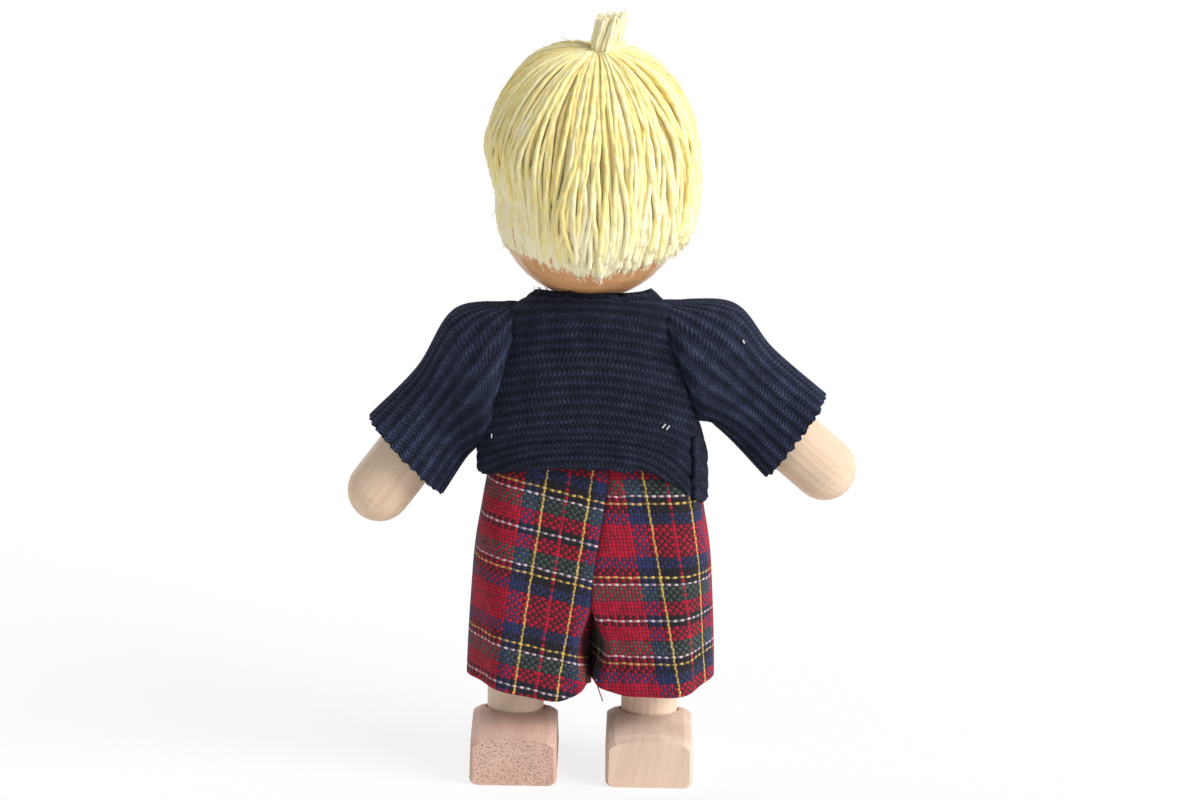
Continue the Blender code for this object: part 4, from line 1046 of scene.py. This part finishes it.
def wooden_parts():
    pale, warm = colour(236, 212, 186), colour(214, 182, 152)
    plain = wood_look("beech", pale, warm).material
    wear(["torso", "neck"], plain)
    # The legs' beech is painted lighter than the rest, as painted light against the shade that the shorts
    # cast on them.
    painted_lighter_beech = colour(250, 229, 207), colour(234, 204, 176)
    wear(["leg_left", "leg_right"], wood_look("beech_legs_painted_lighter", *painted_lighter_beech).material)
    for side, name in SIDES.items():
        turned = wood_look(f"beech_arm_{name}", pale, warm, turn=(0, side * ARM_OUT[side], 0)).material
        wear([f"arm_{name}"], turned)
    rosy = colour(220, 184, 167), colour(196, 158, 141)
    end_grain = wood_look("beech_end_grain", *rosy, (radians(90), 0, 0), 0.9, end_pores=True)
    wear(["foot_left"], end_grain.material)
    sandy = colour(235, 209, 190), colour(210, 180, 158)
    wear(["foot_right"], wood_look("beech_side_grain", *sandy, (0, radians(12), 0)).material)
    wear(["head"], head_look())
    steel = Look("steel", metallic=1.0, roughness=0.35)
    brushed = steel.noise(steel.stretch(steel.place("Object"), (1.0, 0.05, 1.0)), 4000.0)
    steel.paint(steel.ramp(brushed, [(0.2, colour(170, 170, 172)), (0.8, colour(205, 205, 206))]))
    wear([name for name in nodes if name.endswith("_pin") or "_pin_" in name], steel.material)


def set_up_room():
    """A dim world that camera, gloss and glass see as plain white."""
    world = bpy.data.worlds.new("white_room")
    bpy.context.scene.world = world
    world.use_nodes = True
    tree = world.node_tree
    soft = tree.nodes["Background"]
    soft.inputs["Color"].default_value = (1.0, 1.0, 1.0, 1.0)
    soft.inputs["Strength"].default_value = ROOM_LIGHT
    white = tree.nodes.new("ShaderNodeBackground")
    white.inputs["Color"].default_value = (1.0, 1.0, 1.0, 1.0)
    mix = tree.nodes.new("ShaderNodeMixShader")
    rays = tree.nodes.new("ShaderNodeLightPath")
    share = rays.outputs["Is Camera Ray"]
    for kind in ("Is Glossy Ray", "Is Transmission Ray"):
        either = tree.nodes.new("ShaderNodeMath")
        either.operation = "MAXIMUM"
        tree.links.new(share, either.inputs[0])
        tree.links.new(rays.outputs[kind], either.inputs[1])
        share = either.outputs[0]
    tree.links.new(share, mix.inputs[0])
    tree.links.new(soft.outputs[0], mix.inputs[1])
    tree.links.new(white.outputs[0], mix.inputs[2])
    tree.links.new(mix.outputs[0], tree.nodes["World Output"].inputs["Surface"])


def set_up_lamps():
    for name, place, strength, softness in LAMPS:
        lamp = bpy.data.lights.new(name, "SUN")
        lamp.energy, lamp.angle = strength, radians(softness)
        holder = place_in_scene(name, lamp)
        holder.location = place
        holder.rotation_euler = (-Vector(place)).to_track_quat("-Z", "Y").to_euler()


def set_up_floor():
    """White paper that the camera sees nearly even, with a soft shadow."""
    far = FLOOR_REACH
    floor_mesh = bpy.data.meshes.new("floor")
    corners = [(-far, -far, 0), (far, -far, 0), (far, far, 0), (-far, far, 0)]
    floor_mesh.from_pydata(corners, [], [(0, 1, 2, 3)])
    paper = Look("paper", roughness=0.9)
    grain = paper.noise(paper.place("Object"), 900.0)
    tint = paper.ramp(grain, [(0.3, colour(250, 250, 250)), (0.7, colour(253, 253, 253))])
    floor_mesh.materials.append(paper.paint(tint))
    glow = paper.node("Emission")
    seen = paper.times(paper.node("LightPath").outputs["Is Camera Ray"], FLOOR_WHITE)
    mixed = paper.node("MixShader", {0: seen, 1: paper.shader.outputs[0], 2: glow.outputs[0]})
    paper.fill(paper.tree.nodes["Material Output"], {"Surface": mixed.outputs[0]})
    floor = place_in_scene("floor", floor_mesh)


def set_up_camera():
    lens = bpy.data.cameras.new("photo_camera")
    lens.lens, lens.sensor_width, lens.clip_start = LENS_MM, SENSOR_MM, NEAREST_SEEN
    camera = place_in_scene("photo_camera", lens)
    look = (Vector(CAMERA_TARGET) - Vector(CAMERA_PLACE)).to_track_quat("-Z", "Y").to_matrix().to_4x4()
    camera.matrix_world = Matrix.Translation(CAMERA_PLACE) @ look @ Matrix.Rotation(CAMERA_ROLL, 4, "Z")
    bpy.context.scene.camera = camera
    bpy.context.scene.view_settings.view_transform = "Standard"


wooden_parts()
yarn = yarn_look("yarn", colour(230, 204, 120), colour(253, 235, 154), colour(255, 246, 204))
thread = yarn_look("thread", colour(214, 198, 150), colour(236, 222, 176), colour(250, 240, 205))
elastic = yarn_look("elastic", colour(226, 224, 218), colour(238, 236, 230), colour(248, 247, 243))
wear([name for name in nodes if "elastic" in name], elastic)
hair(yarn)
tuft(yarn, thread)
knit = knit_look("navy_knit", 1.0)
# The sleeves wear the same knit painted lighter, as painted light for how light falls on them.
sleeve_knit = knit_look("navy_knit_painted_lighter", 1.32)
tartan = tartan_look()
sweater_body(knit)
waistband(tartan)
for each_side in SIDES:
    sleeve(each_side, sleeve_knit)
    shorts_leg(each_side, tartan)
set_up_room()
set_up_lamps()
set_up_floor()
set_up_camera()
